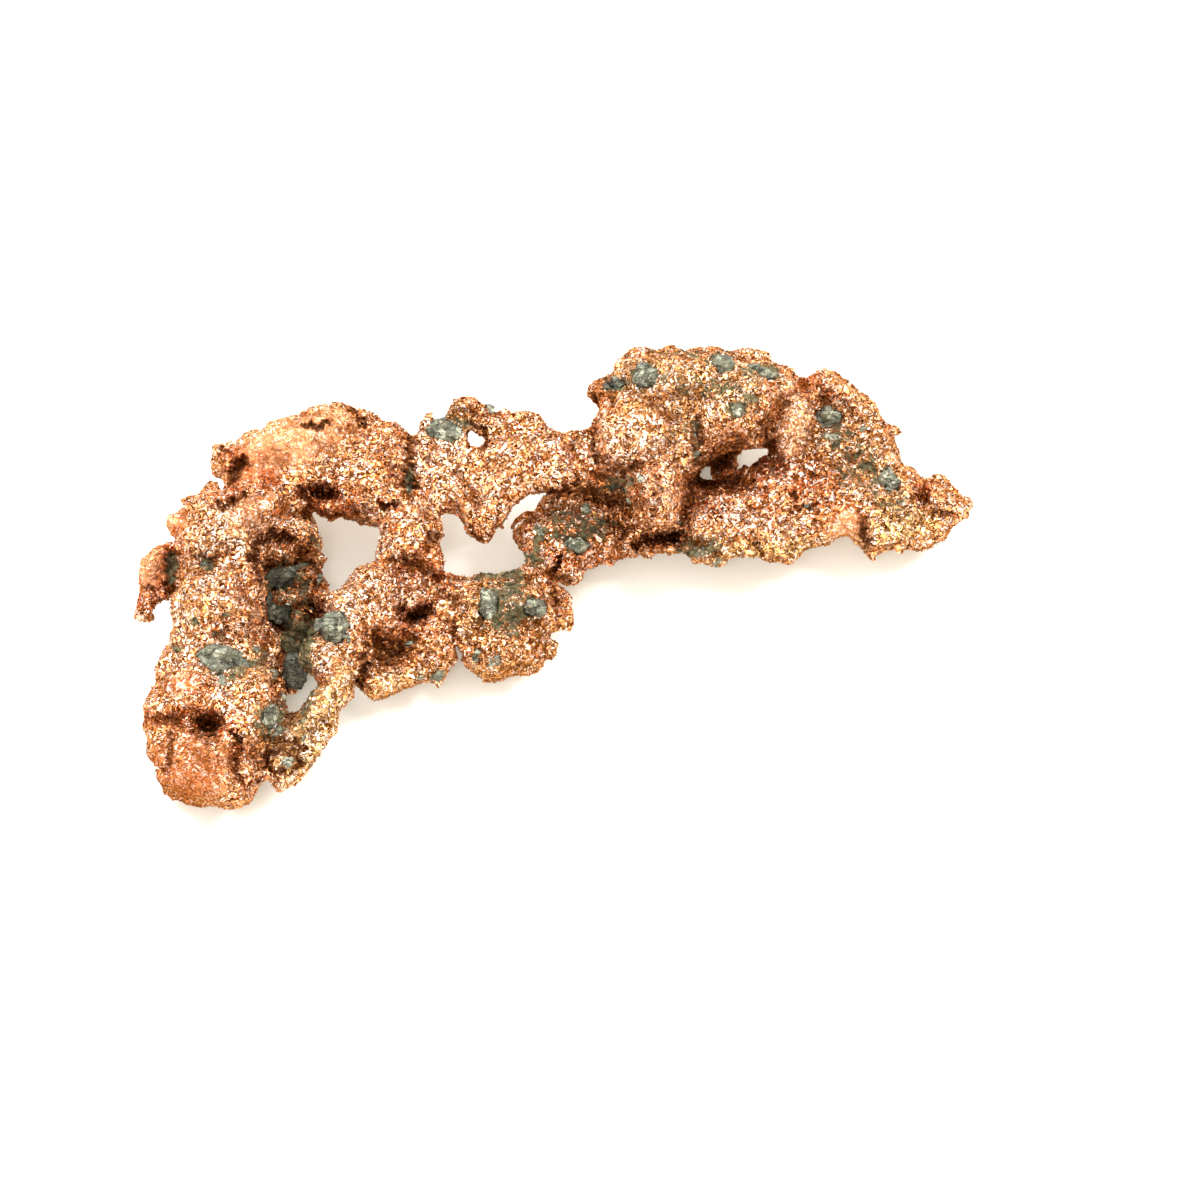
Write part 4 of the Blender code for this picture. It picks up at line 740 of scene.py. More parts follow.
def tinted_metal(tree, grain, metal):
    """The metal's colour from place to place, with a painted sheen on fine crests and pale places, darker
    places that are partly painted shade, and painted highlights on bright facets and streaks.
    """
    mottle = grain["Mottle"]
    calm, dull, pale = (attribute(tree, name) for name in ("calm", "dull", "pale"))
    shown = mix(tree, ramp(tree, mottle, 0.4, 0.6), metal.copper_colour, metal.salmon_colour)
    shown = mix(tree, times(tree, calm, 0.8), shown, metal.calm_colour)
    shown = mix(tree, attribute(tree, "gold"), shown, metal.gold_colour)
    red = times(tree, attribute(tree, "red"), ramp(tree, mottle, 0.7, 0.5), 0.95)
    shown = mix(tree, red, shown, metal.red_colour)
    olive = times(tree, attribute(tree, "olive"), ramp(tree, mottle, 0.62, 0.46), 0.75)
    shown = mix(tree, olive, shown, metal.olive_colour)
    # Painted sheen: fine crests and pale places are lightened as if they caught the light.
    crest = ramp(tree, attribute(tree, "hollow_fine"), -0.005, -0.03)
    shown = mix(tree, times(tree, crest, 0.3), shown, metal.painted_sheen_colour)
    shown = mix(tree, times(tree, pale, 0.3), shown, metal.painted_sheen_colour)
    # Duller, darker places: partly the metal's own tone, partly painted shade.
    shown = mix(tree, times(tree, dull, 0.8), shown, metal.dull_and_shaded_colour)
    # Painted glints: bright facets and streaks painted into the colour as highlights, fewer where the metal
    # is smooth, darker or in painted shade.
    chance = plus(tree, grain["Shade"], times(tree, pale, 0.15))
    chance = plus(tree, chance, times(tree, grain["Streaks"], 0.42))
    muted = math_node(tree, "ADD", calm, plus(tree, dull, attribute(tree, "dark")), clamp=True)
    glint = times(
        tree, ramp(tree, chance, 0.79, 0.86),
        ramp(tree, grain["Seams"], 0.0, 0.5, 1.0, 0.0),
        ramp(tree, muted, 0.0, 1.0, 1.0, 0.4),
    )
    return mix(tree, glint, shown, metal.painted_glint_colour)


def darkened_metal(tree, place, grain, lively, shown, metal):
    """Tarnish and painted shade in the seams and fine hollows, painted shade in broad hollows and underneath,
    and the darkest painted shade in the creases and pits, facet by facet.
    """
    # Tarnish and painted shade in the seams and fine hollows.
    seam_strength = ramp(tree, noise(tree, place, 1.2, 3.0, Roughness=0.6), 0.38, 0.6, 0.62, 1.0)
    shown = mix(tree, times(tree, grain["Seams"], lively, seam_strength), shown, metal.tarnish_and_shade_colour)
    hollow = ramp(tree, attribute(tree, "hollow_fine"), 0.0, 0.03)
    shown = mix(tree, times(tree, hollow, 0.46), shown, metal.tarnish_and_shade_colour)
    scatter = minus(tree, grain["Shade"], 0.5)
    # Painted shade in broad hollows and on undersides.
    deep = ramp(tree, attribute(tree, "hollow_broad"), 0.05, 0.6)
    for shade, strength in ((deep, 0.42), (attribute(tree, "flank"), 0.45)):
        shaded = ramp(tree, plus(tree, shade, scatter), 0.15, 0.85)
        shown = mix(tree, times(tree, shaded, strength), shown, metal.shade_colour)
    # Painted shade in the creases and pits, darkest in the deepest.
    tips = ramp(tree, grain["Shade"], 0.3, 0.9, 1.0, 0.4)
    patchy = ramp(tree, noise(tree, place, 1.1, 3.0, Roughness=0.6), 0.38, 0.56, 0.45, 1.0)
    dark = plus(tree, times(tree, attribute(tree, "dark"), patchy), times(tree, scatter, 0.45))
    shown = mix(tree, times(tree, ramp(tree, dark, 0.25, 0.45), tips, 0.9), shown, metal.tarnish_and_shade_colour)
    return mix(tree, times(tree, ramp(tree, dark, 0.55, 0.8), tips), shown, metal.crease_shade_colour)


def copper_material(metal):
    """Bright hackly copper, with patches of grey-green crust, and painted highlights and painted shade in its
    colour.
    """
    material, tree, shader = new_material("Native copper")
    place = object_place(tree)
    inputs = {"Place": place, "Grains Per MM": 1.0 / metal.glint_size}
    grain = add(tree, "ShaderNodeGroup", inputs, node_tree=grain_group()).outputs
    calm = attribute(tree, "calm")
    lively = minus(tree, 1.0, times(tree, calm, 0.55))
    bright = tinted_metal(tree, grain, metal)
    shown = darkened_metal(tree, place, grain, lively, bright, metal)
    patches = noise(tree, place, 1.3, 4.0, Roughness=0.72)
    crust = ramp(tree, plus(tree, times(tree, attribute(tree, "crust"), 0.36), patches), 0.74, 0.8)
    stone = mix(tree, ramp(tree, noise(tree, place, 1.7, 4.0), 0.4, 0.62), metal.crust_dark, metal.crust_pale)
    # The crust is darker in those places too, partly as painted shade.
    stone = mix(tree, times(tree, attribute(tree, "dull"), 0.75), stone, metal.crust_dark)
    polish = ramp(tree, noise(tree, place, 3.0, 2.0), 0.35, 0.65, 0.2, 0.42)
    matte = plus(tree, polish, times(tree, calm, 0.4))
    set_inputs(tree, shader, {
        "Base Color": mix(tree, crust, shown, stone),
        "Metallic": ramp(tree, crust, 0.0, 1.0, 1.0, 0.0),
        "Roughness": add(tree, "ShaderNodeMix", {0: crust, 2: matte, 3: 0.8}).outputs[0],
        "Specular Tint": (*metal.edge_colour, 1.0),
        "Normal": bumped(tree, times(tree, grain["Height"], lively), metal.glint_depth),
    })
    return material


class MetalSettings(PropertyGroup):
    """Sizes and colours of the metal."""

    voxel: size("Voxel", "Edge length before thinning", 0.17, 0.1)
    triangles: IntProperty(name="Triangles", description="Most triangles in the metal", default=190000)
    swell_size: size("Swell Size", "Width of the low swells", 3.2)
    swell_depth: size("Swell Depth", "Height of the low swells", 0.4)
    ledge_size: size("Ledge Size", "Width of the tilted ledges", 1.3)
    ledge_depth: size("Ledge Depth", "Height of the tilted ledges", 0.26)
    grain_size: size("Grain Size", "Width of the hackly grain", 0.45)
    grain_depth: size("Grain Depth", "Height of the hackly grain", 0.16)
    ragged: amount("Ragged Edges", "How much rougher the outer edges are", 1.1)
    glint_size: size("Glint Size", "Width of the finest facets", 0.34)
    glint_depth: size("Glint Depth", "Height of the finest facets", 0.12)
    copper_colour: colour("Copper", "Clean metal", (0.96, 0.325, 0.085))
    salmon_colour: colour("Salmon", "Clean metal in the pinker patches", (1.0, 0.475, 0.215))
    gold_colour: colour("Gold Tint", "Metal in the yellower places", (0.97, 0.57, 0.19))
    olive_colour: colour("Olive Tint", "Metal with a greenish stain", (0.50, 0.30, 0.105))
    red_colour: colour("Red Tint", "Metal in the red places", (0.80, 0.16, 0.04))
    # Tarnish and painted shade.
    tarnish_and_shade_colour: colour("Tarnish", "Seams, fine hollows and shallow creases", (0.11, 0.031, 0.004))
    shade_colour: colour("Shaded Metal", "Broad hollows and undersides", (0.34, 0.13, 0.026))
    # Duller metal, partly painted shade.
    dull_and_shaded_colour: colour("Dull Metal", "Metal in the dull places", (0.45, 0.132, 0.036))
    calm_colour: colour("Smooth Metal", "Metal in the smooth places", (0.74, 0.33, 0.155))
    # The darkest painted shade, in creases and pits.
    crease_shade_colour: colour("Deep Creases", "The darkest creases and pits", (0.075, 0.02, 0.007))
    # A painted sheen on fine crests and pale places.
    painted_sheen_colour: colour("Crests", "Fine crests and pale places", (1.0, 0.59, 0.32))
    # Painted highlights, painted into the base colour.
    painted_glint_colour: colour("Glints", "Facets and streaks that catch the light", (1.0, 0.92, 0.87))
    edge_colour: colour("Slanting Metal", "Tint of what the metal mirrors at a slant", (0.60, 0.34, 0.16))
    crust_dark: colour("Dark Crust", "Dark parts of the crust", (0.035, 0.032, 0.018))
    crust_pale: colour("Pale Crust", "Pale parts of the crust", (0.20, 0.18, 0.095))


class NUGGET_OT_metal(Operator):
    """Makes the native copper from the CAD solid, with its crumpled relief"""

    bl_idname = "nugget.metal"
    bl_label = "Native Copper"

    def execute(self, context):
        metal = context.scene.nugget_metal
        copper = merged_copy(METAL_NODE, METAL_PIECE)
        fuse_lumps(copper)
        even_out(copper, FUSE_VOXEL, FUSE_ROUNDS)
        cut_notches(copper)
        even_out(copper, metal.voxel, SKIN_ROUNDS)
        crease_skin(copper.data)
        set_attribute(copper.data, "calm", zone(points_of(copper.data), CALM_PLACES))
        add_geometry_nodes(copper, relief_tree(), {
            "Swell Size": metal.swell_size, "Swell Depth": metal.swell_depth,
            "Ledge Size": metal.ledge_size, "Ledge Depth": metal.ledge_depth,
            "Grain Size": metal.grain_size, "Grain Depth": metal.grain_depth, "Ragged Edges": metal.ragged,
        })
        thin = copper.modifiers.new("Thin out", "DECIMATE")
        thin.ratio = min(1.0, metal.triangles / triangles_in(copper.data))
        apply_modifiers(copper)
        add_geometry_nodes(copper, hollow_tree(), {})
        points = points_of(copper.data)
        for name, places in TINTS.items():
            set_attribute(copper.data, name, zone(points, places))
        keep_above_table(copper.data)
        copper.data.materials.clear()
        copper.data.materials.append(copper_material(metal))
        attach(copper, "root")
        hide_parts(METAL_NODE)
        return {"FINISHED"}


HACKLE_TURNS = ((-0.9, -0.9, -3.14), (0.9, 0.9, 3.14))  # least and most of a point's turns, in radians
HACKLE_STRETCH = ((0.7, 0.4, 0.35), (1.9, 0.9, 1.3))  # least and most of its two widths and its height
HACKLE_LAYERS = {"copper_hackles": 1.0, "copper_hackles_fine": 0.7}  # how large each layer's points are


def hackle_tree(material):
    """Scatters little bent points over the skin, standing out from it every which way."""
    tree, given, result = geometry_tree("Hackles", "Per Square MM", "Width", "Height", "Jag", "Seed")
    thinned = ramp(tree, calm_places(tree), 0.0, 1.0, 1.0, 0.3)
    density = times(tree, given["Per Square MM"], thinned, SQUARE_MM)
    seed = math_node(tree, "ROUND", given["Seed"])
    inputs = {"Mesh": given["Geometry"], "Density": density, "Seed": seed}
    spread = add(tree, "GeometryNodeDistributePointsOnFaces", inputs).outputs
    inputs = {"Vertices": 4, "Radius Top": 0.0, "Radius Bottom": 0.5, "Depth": 1.0}
    cone = add(tree, "GeometryNodeMeshCone", inputs).outputs[0]
    sunk = add(tree, "GeometryNodeTransform", {"Geometry": cone, "Translation": (0.0, 0.0, -0.35)})
    turns = {0: HACKLE_TURNS[0], 1: HACKLE_TURNS[1], "Seed": 3}
    turn = add(tree, "FunctionNodeRandomValue", turns, data_type="FLOAT_VECTOR")
    inputs = {0: spread["Rotation"], 1: turn.outputs[0]}
    rotation = add(tree, "FunctionNodeRotateRotation", inputs, rotation_space="LOCAL")
    stretches = {0: HACKLE_STRETCH[0], 1: HACKLE_STRETCH[1], "Seed": 5}
    stretch = add(tree, "FunctionNodeRandomValue", stretches, data_type="FLOAT_VECTOR")
    whole = add(tree, "ShaderNodeCombineXYZ", {0: given["Width"], 1: given["Width"], 2: given["Height"]})
    sizes = scaled(tree, combined(tree, "MULTIPLY", stretch.outputs[0], whole.outputs[0]), MM)
    placed = add(tree, "GeometryNodeInstanceOnPoints", {
        "Points": spread[0], "Instance": sunk.outputs[0], "Rotation": rotation.outputs[0], "Scale": sizes,
    })
    real = add(tree, "GeometryNodeRealizeInstances", {0: placed.outputs[0]})
    jog = combined(tree, "SUBTRACT", noise(tree, position_in_mm(tree), 3.0, 1.0, output=1), (0.5, 0.5, 0.5))
    offset = scaled(tree, jog, times(tree, given["Jag"], 2.0 * MM))
    bent = add(tree, "GeometryNodeSetPosition", {"Geometry": real.outputs[0], "Offset": offset})
    finished = add(tree, "GeometryNodeSetMaterial", {"Geometry": bent.outputs[0], "Material": material})
    tree.links.new(finished.outputs[0], result[0])
    return tree


class HackleSettings(PropertyGroup):
    """Sizes of the little points on the metal."""

    density: amount("Density", "Points per square mm", 6.0)
    width: size("Width", "Width of a point", 0.32)
    height: size("Height", "Height of a point", 0.29)
    jag: size("Jag", "How far the points are bent", 0.15)


class NUGGET_OT_hackles(Operator):
    """Roughens the copper with thousands of little bent points"""

    bl_idname = "nugget.hackles"
    bl_label = "Hackles"

    def execute(self, context):
        hackle = context.scene.nugget_hackle
        source = bpy.data.objects[METAL_PIECE].data
        tree = hackle_tree(source.materials[0])
        for seed, (name, shrink) in enumerate(HACKLE_LAYERS.items(), 1):
            hackles = new_object(name, source.copy())
            add_geometry_nodes(hackles, tree, {
                "Width": hackle.width * shrink, "Height": hackle.height * shrink, "Jag": hackle.jag * shrink,
                "Per Square MM": hackle.density / len(HACKLE_LAYERS), "Seed": float(seed),
            })
            keep_above_table(hackles.data)
            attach(hackles, "root")
        return {"FINISHED"}


# Bent strands at the metal's edges: radius in mm, then a line of (across, up)
STRANDS = (
    (0.46, ((-1.2, 29.4), (-2.6, 29.5), (-3.6, 29), (-4.2, 28.3), (-4.3, 27.7))),
    (0.4, ((-2.4, 28.4), (-3.2, 27.9), (-3, 27.2), (-2.4, 26.9))),
    (0.36, ((-4.9, 29.6), (-5.4, 28.9), (-5.4, 28.2), (-5.1, 27.8))),
    (0.26, ((-37.4, 30.6), (-36.6, 31.1), (-35.6, 31.2))),
    (0.26, ((-35.2, 31.8), (-34.6, 32.7), (-34.2, 32.6))),
    (0.26, ((22.6, 24.9), (23.4, 24.4), (23.9, 24.8))), (0.3, ((33.6, 37.9), (34.5, 37.8), (34.3, 37.3))),
    (0.26, ((31.2, 25.8), (31.8, 24.8), (32.3, 25))),
)


def add_strand(bm, skin, radius, line, chance):
    """One bent wire of hackly metal that follows the line at the height of the skin."""
    start, end = (skin_spot(skin, *line[place]).dot(TOWARD) for place in (0, -1))
    steps = [(here, there, part / 4) for here, there in zip(line, line[1:]) for part in range(4)]
    rings = []
    for number, (here, there, part) in enumerate(steps):
        across, up = (a + (b - a) * part for a, b in zip(here, there))
        way = Vector((there[0] - here[0], there[1] - here[1])).normalized()
        share = number / (len(steps) - 1)
        origin = at(across, up, 0.0)
        middle = origin + TOWARD * (start + (end - start) * share - origin.dot(TOWARD) - 0.3 * MM)
        beside = ACROSS * -way.y + UP * way.x
        ring = []
        for turn in SIX_STEPS:
            reach = radius * MM * (1.0 - 0.55 * share) * chance.uniform(0.6, 1.5)
            ring.append(bm.verts.new(middle + (beside * math.cos(turn) + TOWARD * math.sin(turn)) * reach))
        rings.append(ring)
    for here, there in zip(rings, rings[1:]):
        for corner in range(6):
            after = (corner + 1) % 6
            bm.faces.new((here[corner], here[after], there[after], there[corner]))
    bm.faces.new(reversed(rings[0]))
    bm.faces.new(rings[-1])


class NUGGET_OT_strands(Operator):
    """Bends thin strands of copper out from the metal's edges"""

    bl_idname = "nugget.strands"
    bl_label = "Strands"

    def execute(self, context):
        skin = skin_tree()
        chance = random.Random(11)
        bm = bmesh.new()
        for radius, line in STRANDS:
            add_strand(bm, skin, radius, line, chance)
        bmesh.ops.recalc_face_normals(bm, faces=bm.faces)
        strands = object_from(bm, "copper_strands")
        soften = strands.modifiers.new("Soften", "SUBSURF")
        soften.levels = soften.render_levels = 2
        apply_modifiers(strands)
        keep_above_table(strands.data)
        # The strands get the darker tone of those places, partly painted shade.
        set_attribute(strands.data, "dull", np.full(len(strands.data.vertices), 0.9))
        strands.data.materials.append(bpy.data.objects[METAL_PIECE].data.materials[0])
        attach(strands, "root")
        return {"FINISHED"}


# ---------------------------------------------------------------- the rock


# (across, up, width, height) of the small crumbs of rock on the side that is shown, in mm
CRUMBS = (
    (-31.2, 14.5, 2, 1.6), (-24.3, 19.8, 1.8, 1.6), (-28, 13.2, 1.5, 1.2), (-27.2, 11.4, 1.1, 2.2),
    (-20.7, 16.8, 1.2, 1), (-6.6, 40, 1.6, 1.2), (-14.5, 31.8, 0.7, 0.6), (-34.7, 24.2, 1.4, 1.1),
    (18.2, 39.8, 1.6, 1.4), (8.7, 32.8, 1.4, 1), (5.8, 32.2, 1.6, 1.2), (7.5, 30.7, 1.4, 1.1),
    (12.5, 28.5, 0.9, 0.8), (28, 37, 2, 1.2), (31, 38, 1.2, 1), (34, 32, 1.6, 1.2), (25.3, 30.4, 1.6, 0.8),
    (3, 30, 1.2, 1), (-1.5, 27.5, 1.2, 1.6), (-7.7, 15.2, 1, 1.2), (-6.5, 14.5, 0.8, 1),
    (-5.5, 14.7, 0.8, 0.8), (-4, 22.9, 1.4, 0.8), (-13.3, 13.2, 0.8, 0.8), (-11.8, 13.4, 1.6, 1),
    (14.3, 25.5, 1.4, 1.2), (16.2, 24.6, 1.2, 1.2), (-26.5, 4.5, 1.4, 1.1), (-14.5, 16.5, 1.4, 1),
    (13.9, 37.5, 0.6, 1.2), (14.2, 35.5, 0.6, 1.2), (-25.5, 24.5, 1.8, 1.4), (-25.7, 14.4, 1.6, 1.8),
    (-26.4, 20.6, 1.4, 1.2), (-23.6, 22.8, 1.2, 1.6), (-32.8, 12.8, 1.6, 1.2), (-29.6, 15.8, 1.2, 1),
    (-27.4, 7.6, 1.4, 1.2), (-25.2, 7, 1, 0.9),
)

# Where the grains get painted shade: (across, up, half width, half height, turn in degrees, strength)
ROCK_SHADE_PLACES = (
    (-26.6, 21.5, 3.5, 2.2, 0, 0.7), (-26, 17.5, 2.4, 2.4, 0, 0.8), (6.2, 42.4, 1.6, 1.2, 0, 0.5),
    (18.2, 40, 1.4, 1.2, 0, 0.5), (-15.4, 16, 1.8, 1.4, 0, 0.6), (-25.8, 13.4, 1.8, 2.8, 0, 0.6),
    (-28, 22.5, 1.2, 2.4, 0, 0.5),
)


def rock_material(rock):
    """Dull grey-green rock: mottled, with pale faces, dark cracks, a broken grain, and painted shade on its
    sunken edges.
    """
    material, tree, shader = new_material(ROCK_MATERIAL)
    place = object_place(tree)
    facets, cells, warped = tilted_facets(tree, place, 1.5, 1.2)
    inputs = {"Vector": warped, "Scale": 1.0}
    edges = add(tree, "ShaderNodeTexVoronoi", inputs, feature="DISTANCE_TO_EDGE").outputs["Distance"]
    shade = add(tree, "ShaderNodeSeparateColor", {0: cells.outputs["Color"]}).outputs[0]
    mottle = noise(tree, place, 1.4, 5.0, Roughness=0.7)
    shown = mix(tree, ramp(tree, mottle, 0.35, 0.65), rock.dark_colour, rock.mid_colour)
    shown = mix(tree, ramp(tree, shade, 0.55, 0.9, 0.0, 0.8), shown, rock.pale_colour)
    shown = mix(tree, ramp(tree, noise(tree, place, 0.9, 3.0), 0.6, 0.75, 0.0, 0.6), shown, rock.rust_colour)
    broken = ramp(tree, noise(tree, place, 0.7, 2.0), 0.5, 0.62)
    shown = mix(tree, times(tree, ramp(tree, edges, 0.07, 0.02), broken), shown, rock.crack_and_shade_colour)
    bedded = noise(tree, combined(tree, "MULTIPLY", place, (0.5, 1.9, 1.5)), 0.9, 3.0, Distortion=0.6)
    parting = ramp(tree, contour(tree, bedded, 0.5), 0.035, 0.012, 0.0, 0.85)
    shown = mix(tree, parting, shown, rock.crack_and_shade_colour)
    shown = mix(tree, ramp(tree, noise(tree, place, 4.5, 2.0), 0.62, 0.68, 0.0, 0.7), shown, rock.pale_colour)
    height = plus(tree, times(tree, facets, 0.8), times(tree, noise(tree, place, 6.0, 3.0), 0.6))
    set_inputs(tree, shader, {
        # Sunken edges get painted shade in the crack colour.
        "Base Color": mix(tree, times(tree, attribute(tree, "rim"), 0.9), shown, rock.crack_and_shade_colour),
        "Roughness": ramp(tree, mottle, 0.3, 0.7, 0.45, 0.75),
        "Normal": bumped(tree, height, 0.14),
    })
    return material


class RockSettings(PropertyGroup):
    """Sizes and colours of the matrix rock."""

    swell: size("Swell", "How far a grain fills its pocket", 0.45)
    sink: size("Sink", "How far a grain is sunk into the metal", 0.45)
    flatness: amount("Flatness", "Share of a grain's depth that is kept", 0.8)
    chip: size("Chip", "Depth of the broken faces", 0.42)
    face_size: size("Face Size", "Width of the broken faces", 1.25)
    dark_colour: colour("Dark Rock", "Dark parts of the rock", (0.055, 0.055, 0.035))
    mid_colour: colour("Rock", "Most of the rock", (0.205, 0.21, 0.14))
    pale_colour: colour("Pale Rock", "Pale faces and specks", (0.44, 0.455, 0.34))
    rust_colour: colour("Rusty Rock", "Rusty patches", (0.25, 0.13, 0.05))
    # Cracks and partings, and painted shade on sunken edges.
    crack_and_shade_colour: colour("Cracks", "Cracks, partings and sunken rims", (0.015, 0.014, 0.01))


def chip_tree():
    """Breaks a rock's skin into small tilted faces."""
    tree, given, result = geometry_tree("Broken faces", "Chip", "Face Size")
    place = position_in_mm(tree)
    facets = tilted_facets(tree, place, per(tree, given["Face Size"]), 0.8)[0]
    grit = times(tree, minus(tree, noise(tree, place, 2.5, 2.0), 0.5), 0.5)
    lift = times(tree, plus(tree, facets, grit), given["Chip"])
    normal = add(tree, "GeometryNodeInputNormal").outputs[0]
    push_out(tree, given, result, normal, times(tree, lift, 2.0 * MM))
    return tree


def break_faces(obj, rock, levels):
    divide = obj.modifiers.new("Divide", "SUBSURF")
    divide.subdivision_type = "SIMPLE"
    divide.levels = divide.render_levels = levels
    tree = bpy.data.node_groups.get("Broken faces") or chip_tree()
    add_geometry_nodes(obj, tree, {"Chip": rock.chip, "Face Size": rock.face_size})


class NUGGET_OT_grains(Operator):
    """Makes the larger grains of matrix rock, each grown to fill its pocket in the metal"""

    bl_idname = "nugget.grains"
    bl_label = "Matrix Grains"

    def execute(self, context):
        rock = context.scene.nugget_rock
        material = rock_material(rock)
        toward = np.array(TOWARD)
        for node in sorted(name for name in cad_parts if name.startswith("matrix_")):
            grain = merged_copy(node, node.replace("matrix_", "rock_"))
            points = points_of(grain.data)
            centre = points.mean(axis=0)
            sunk = centre - toward * rock.sink * MM
            reach = np.linalg.norm(points - centre, axis=1, keepdims=True)
            spread = (points - centre) * (1 + rock.swell * MM / reach)
            flat = spread - np.outer(spread @ toward, toward) * (1.0 - rock.flatness)
            set_points(grain.data, sunk + flat)
            break_faces(grain, rock, 3)
            points = points_of(grain.data)
            rise = (points - sunk) @ toward / MM
            # What lies well below a grain's top gets painted shade along its edges, as do the shaded places.
            rim = np.clip((rise.max() - rise) / 1.1 - 0.35, 0.0, 1.0)
            set_attribute(grain.data, "rim", np.maximum(rim, zone(points, ROCK_SHADE_PLACES)))
            grain.data.materials.clear()
            grain.data.materials.append(material)
            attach(grain, "root")
            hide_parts(node)
        return {"FINISHED"}


def add_crumb(bm, spot, normal, width, height, chance):
    """One broken lump, wide and high as seen from the front, half sunk in the skin, with painted shade on its
    sunk side.
    """
    made = bmesh.ops.create_icosphere(bm, subdivisions=2, radius=0.5)["verts"]
    rim = bm.verts.layers.float["rim"]
    for vert in made:
        # The side sunk into the skin gets painted shade.
        vert[rim] = min(1.0, max(0.0, 0.7 - 2.2 * vert.co.z))
        vert.co *= chance.uniform(0.78, 1.14)
    depth = min(width, height)
    sizes = Matrix.Diagonal((width * MM, height * MM, depth * MM, 1.0))
    middle = Matrix.Translation(spot - normal * depth * 0.3 * MM)
    spin = Matrix.Rotation(chance.uniform(-0.6, 0.6), 4, "Z")
    bmesh.ops.transform(bm, matrix=middle @ SHOW_AXES @ spin @ sizes, verts=made)


class NUGGET_OT_crumbs(Operator):
    """Sets small crumbs of rock in the metal's skin"""

    bl_idname = "nugget.crumbs"
    bl_label = "Matrix Crumbs"

    def execute(self, context):
        skin = skin_tree()
        chance = random.Random(7)
        bm = bmesh.new()
        bm.verts.layers.float.new("rim")
        for across, up, width, height in CRUMBS:
            spot, normal, _, _ = skin.ray_cast(at(across, up, MID_HEIGHT, IN_FRONT), -TOWARD)
            if spot is None:
                raise RuntimeError(f"No metal under the crumb at {across}, {up}")
            add_crumb(bm, spot, normal, width, height, chance)
        crumbs = object_from(bm, "rock_crumbs")
        break_faces(crumbs, context.scene.nugget_rock, 1)
        crumbs.data.materials.append(bpy.data.materials[ROCK_MATERIAL])
        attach(crumbs, "root")
        return {"FINISHED"}


# ---------------------------------------------------------------- the stage


FLOOR_REACH = 2.0  # from its middle to its sides, in metres
CAMERA_AIM = (4.5, 20.8, 0.0, 6.0)  # across, up, height and toward, in mm
VIEW_WIDTH = 0.12  # that the camera sees, in metres

# The place and width of each square light, in metres
LIGHTS = {
    "key": ((-0.42, 0.20, 0.50), 0.24),
    "front": ((-0.10, -0.45, 0.60), 0.12),
    "side": ((0.45, 0.05, 0.50), 0.12),
}


class StageSettings(PropertyGroup):
    """The floor, the lights and the camera."""

    key_power: amount("Key Light", "Power of the key light", 4.6, unit="POWER")
    front_power: amount("Front Light", "Power of the front light", 0.9, unit="POWER")
    side_power: amount("Side Light", "Power of the side light", 2.6, unit="POWER")
    floor_colour: colour("Floor", "Colour of the floor", (0.78, 0.765, 0.74))
    floor_glow: colour("Floor Glow", "Light that the floor adds in its shadows", (0.26, 0.25, 0.20))
    bright_colour: colour("Bright Side", "Soft light from the bright side", (1.95, 1.92, 1.84), 4.0)
    dim_colour: colour("Dim Side", "Soft light from the dim side", (1.38, 1.22, 0.98), 4.0)
    light_way: FloatVectorProperty(
        name="Light From", description="Where the bright side is", subtype="DIRECTION",
        default=(-0.35, 0.30, 0.88),
    )


def add_area_light(name, location, width, power):
    """A square light that faces the nugget."""
    data = bpy.data.lights.new(name, "AREA")
    data.shape, data.size, data.energy = "SQUARE", width, power
    light = new_object(name, data)
    light.location = location
    light.rotation_mode = "QUATERNION"
    light.rotation_quaternion = Vector(location).to_track_quat("Z", "Y")


def add_camera(scene):
    """A long lens that looks straight at the show plane."""
    camera = bpy.data.cameras.new("camera")
    camera.lens, camera.sensor_width = 400.0, 36.0
    camera.clip_start, camera.clip_end = 0.01, 20.0
    rig = new_object("camera", camera)
    rig.location = at(*CAMERA_AIM) + TOWARD * (VIEW_WIDTH * camera.lens / camera.sensor_width)
    rig.rotation_mode = "QUATERNION"
    rig.rotation_quaternion = TOWARD.to_track_quat("Z", "Y")
    scene.camera = rig


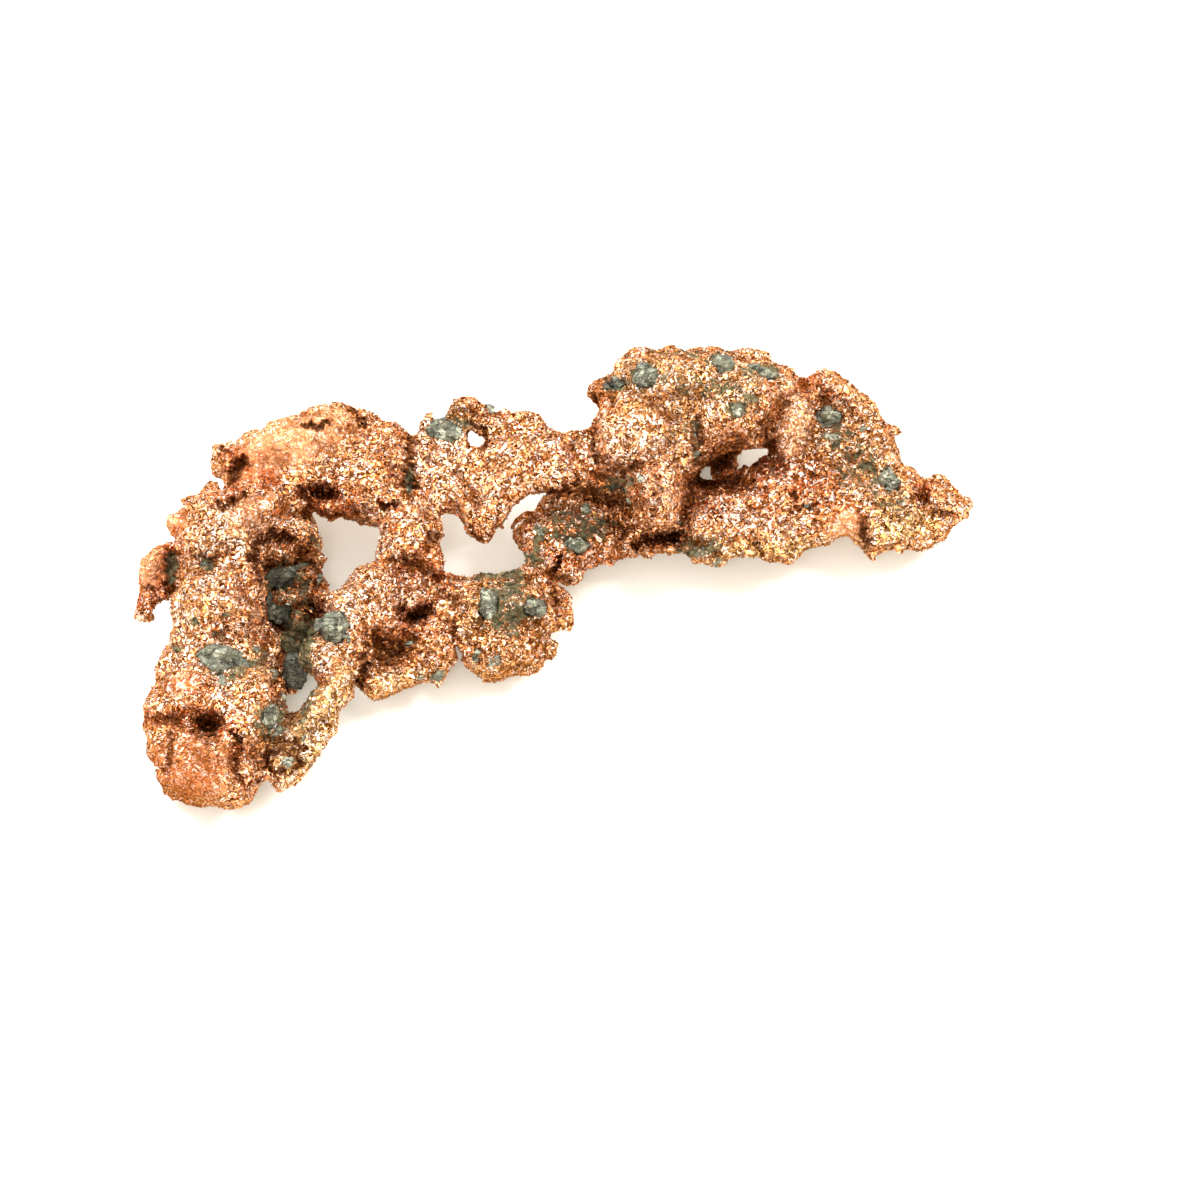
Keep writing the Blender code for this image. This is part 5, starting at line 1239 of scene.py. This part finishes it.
class NUGGET_OT_stage(Operator):
    """Makes the pale floor, the soft lights and the camera"""

    bl_idname = "nugget.stage"
    bl_label = "Stage"

    def execute(self, context):
        scene = context.scene
        stage = scene.nugget_stage
        scene.view_settings.view_transform = "Standard"
        bm = bmesh.new()
        bmesh.ops.create_grid(bm, x_segments=1, y_segments=1, size=FLOOR_REACH)
        floor = object_from(bm, "floor")
        material, tree, shader = new_material("Pale floor")
        set_inputs(tree, shader, {
            "Base Color": (*stage.floor_colour, 1.0), "Roughness": 0.9, "Specular IOR Level": 0.1,
            "Emission Color": (*stage.floor_glow, 1.0), "Emission Strength": 1.0,
        })
        floor.data.materials.append(material)
        scene.world = bpy.data.worlds.new("Studio")
        scene.world.use_nodes = True
        tree = scene.world.node_tree
        way = add(tree, "ShaderNodeTexCoord").outputs["Generated"]
        facing = combined(tree, "DOT_PRODUCT", way, Vector(stage.light_way).normalized(), "Value")
        sky = mix(tree, ramp(tree, facing, -0.2, 0.9), stage.dim_colour, stage.bright_colour)
        tree.links.new(sky, tree.nodes["Background"].inputs["Color"])
        for name, (location, width) in LIGHTS.items():
            add_area_light(name, location, width, getattr(stage, name + "_power"))
        add_camera(scene)
        return {"FINISHED"}


class NUGGET_PT_panel(Panel):
    """Lists the nugget's pieces"""

    bl_label = "Native Copper Nugget"
    bl_idname = "NUGGET_PT_panel"
    bl_space_type = "VIEW_3D"
    bl_region_type = "UI"
    bl_category = "Nugget"

    def draw(self, context):
        for operator in OPERATORS:
            self.layout.operator(operator.bl_idname)


OPERATORS = (
    NUGGET_OT_metal, NUGGET_OT_hackles, NUGGET_OT_strands,
    NUGGET_OT_grains, NUGGET_OT_crumbs, NUGGET_OT_stage,
)
SETTINGS = {
    "nugget_metal": MetalSettings, "nugget_hackle": HackleSettings,
    "nugget_rock": RockSettings, "nugget_stage": StageSettings,
}
CLASSES = (*SETTINGS.values(), *OPERATORS, NUGGET_PT_panel)


def register():
    for cls in CLASSES:
        bpy.utils.register_class(cls)
    for name, kind in SETTINGS.items():
        setattr(bpy.types.Scene, name, PointerProperty(type=kind))


def unregister():
    for name in SETTINGS:
        delattr(bpy.types.Scene, name)
    for cls in reversed(CLASSES):
        bpy.utils.unregister_class(cls)


def main():
    register()
    bpy.ops.nugget.metal()
    bpy.ops.nugget.hackles()
    bpy.ops.nugget.strands()
    bpy.ops.nugget.grains()
    bpy.ops.nugget.crumbs()
    bpy.ops.nugget.stage()


if __name__ == "__main__":
    main()
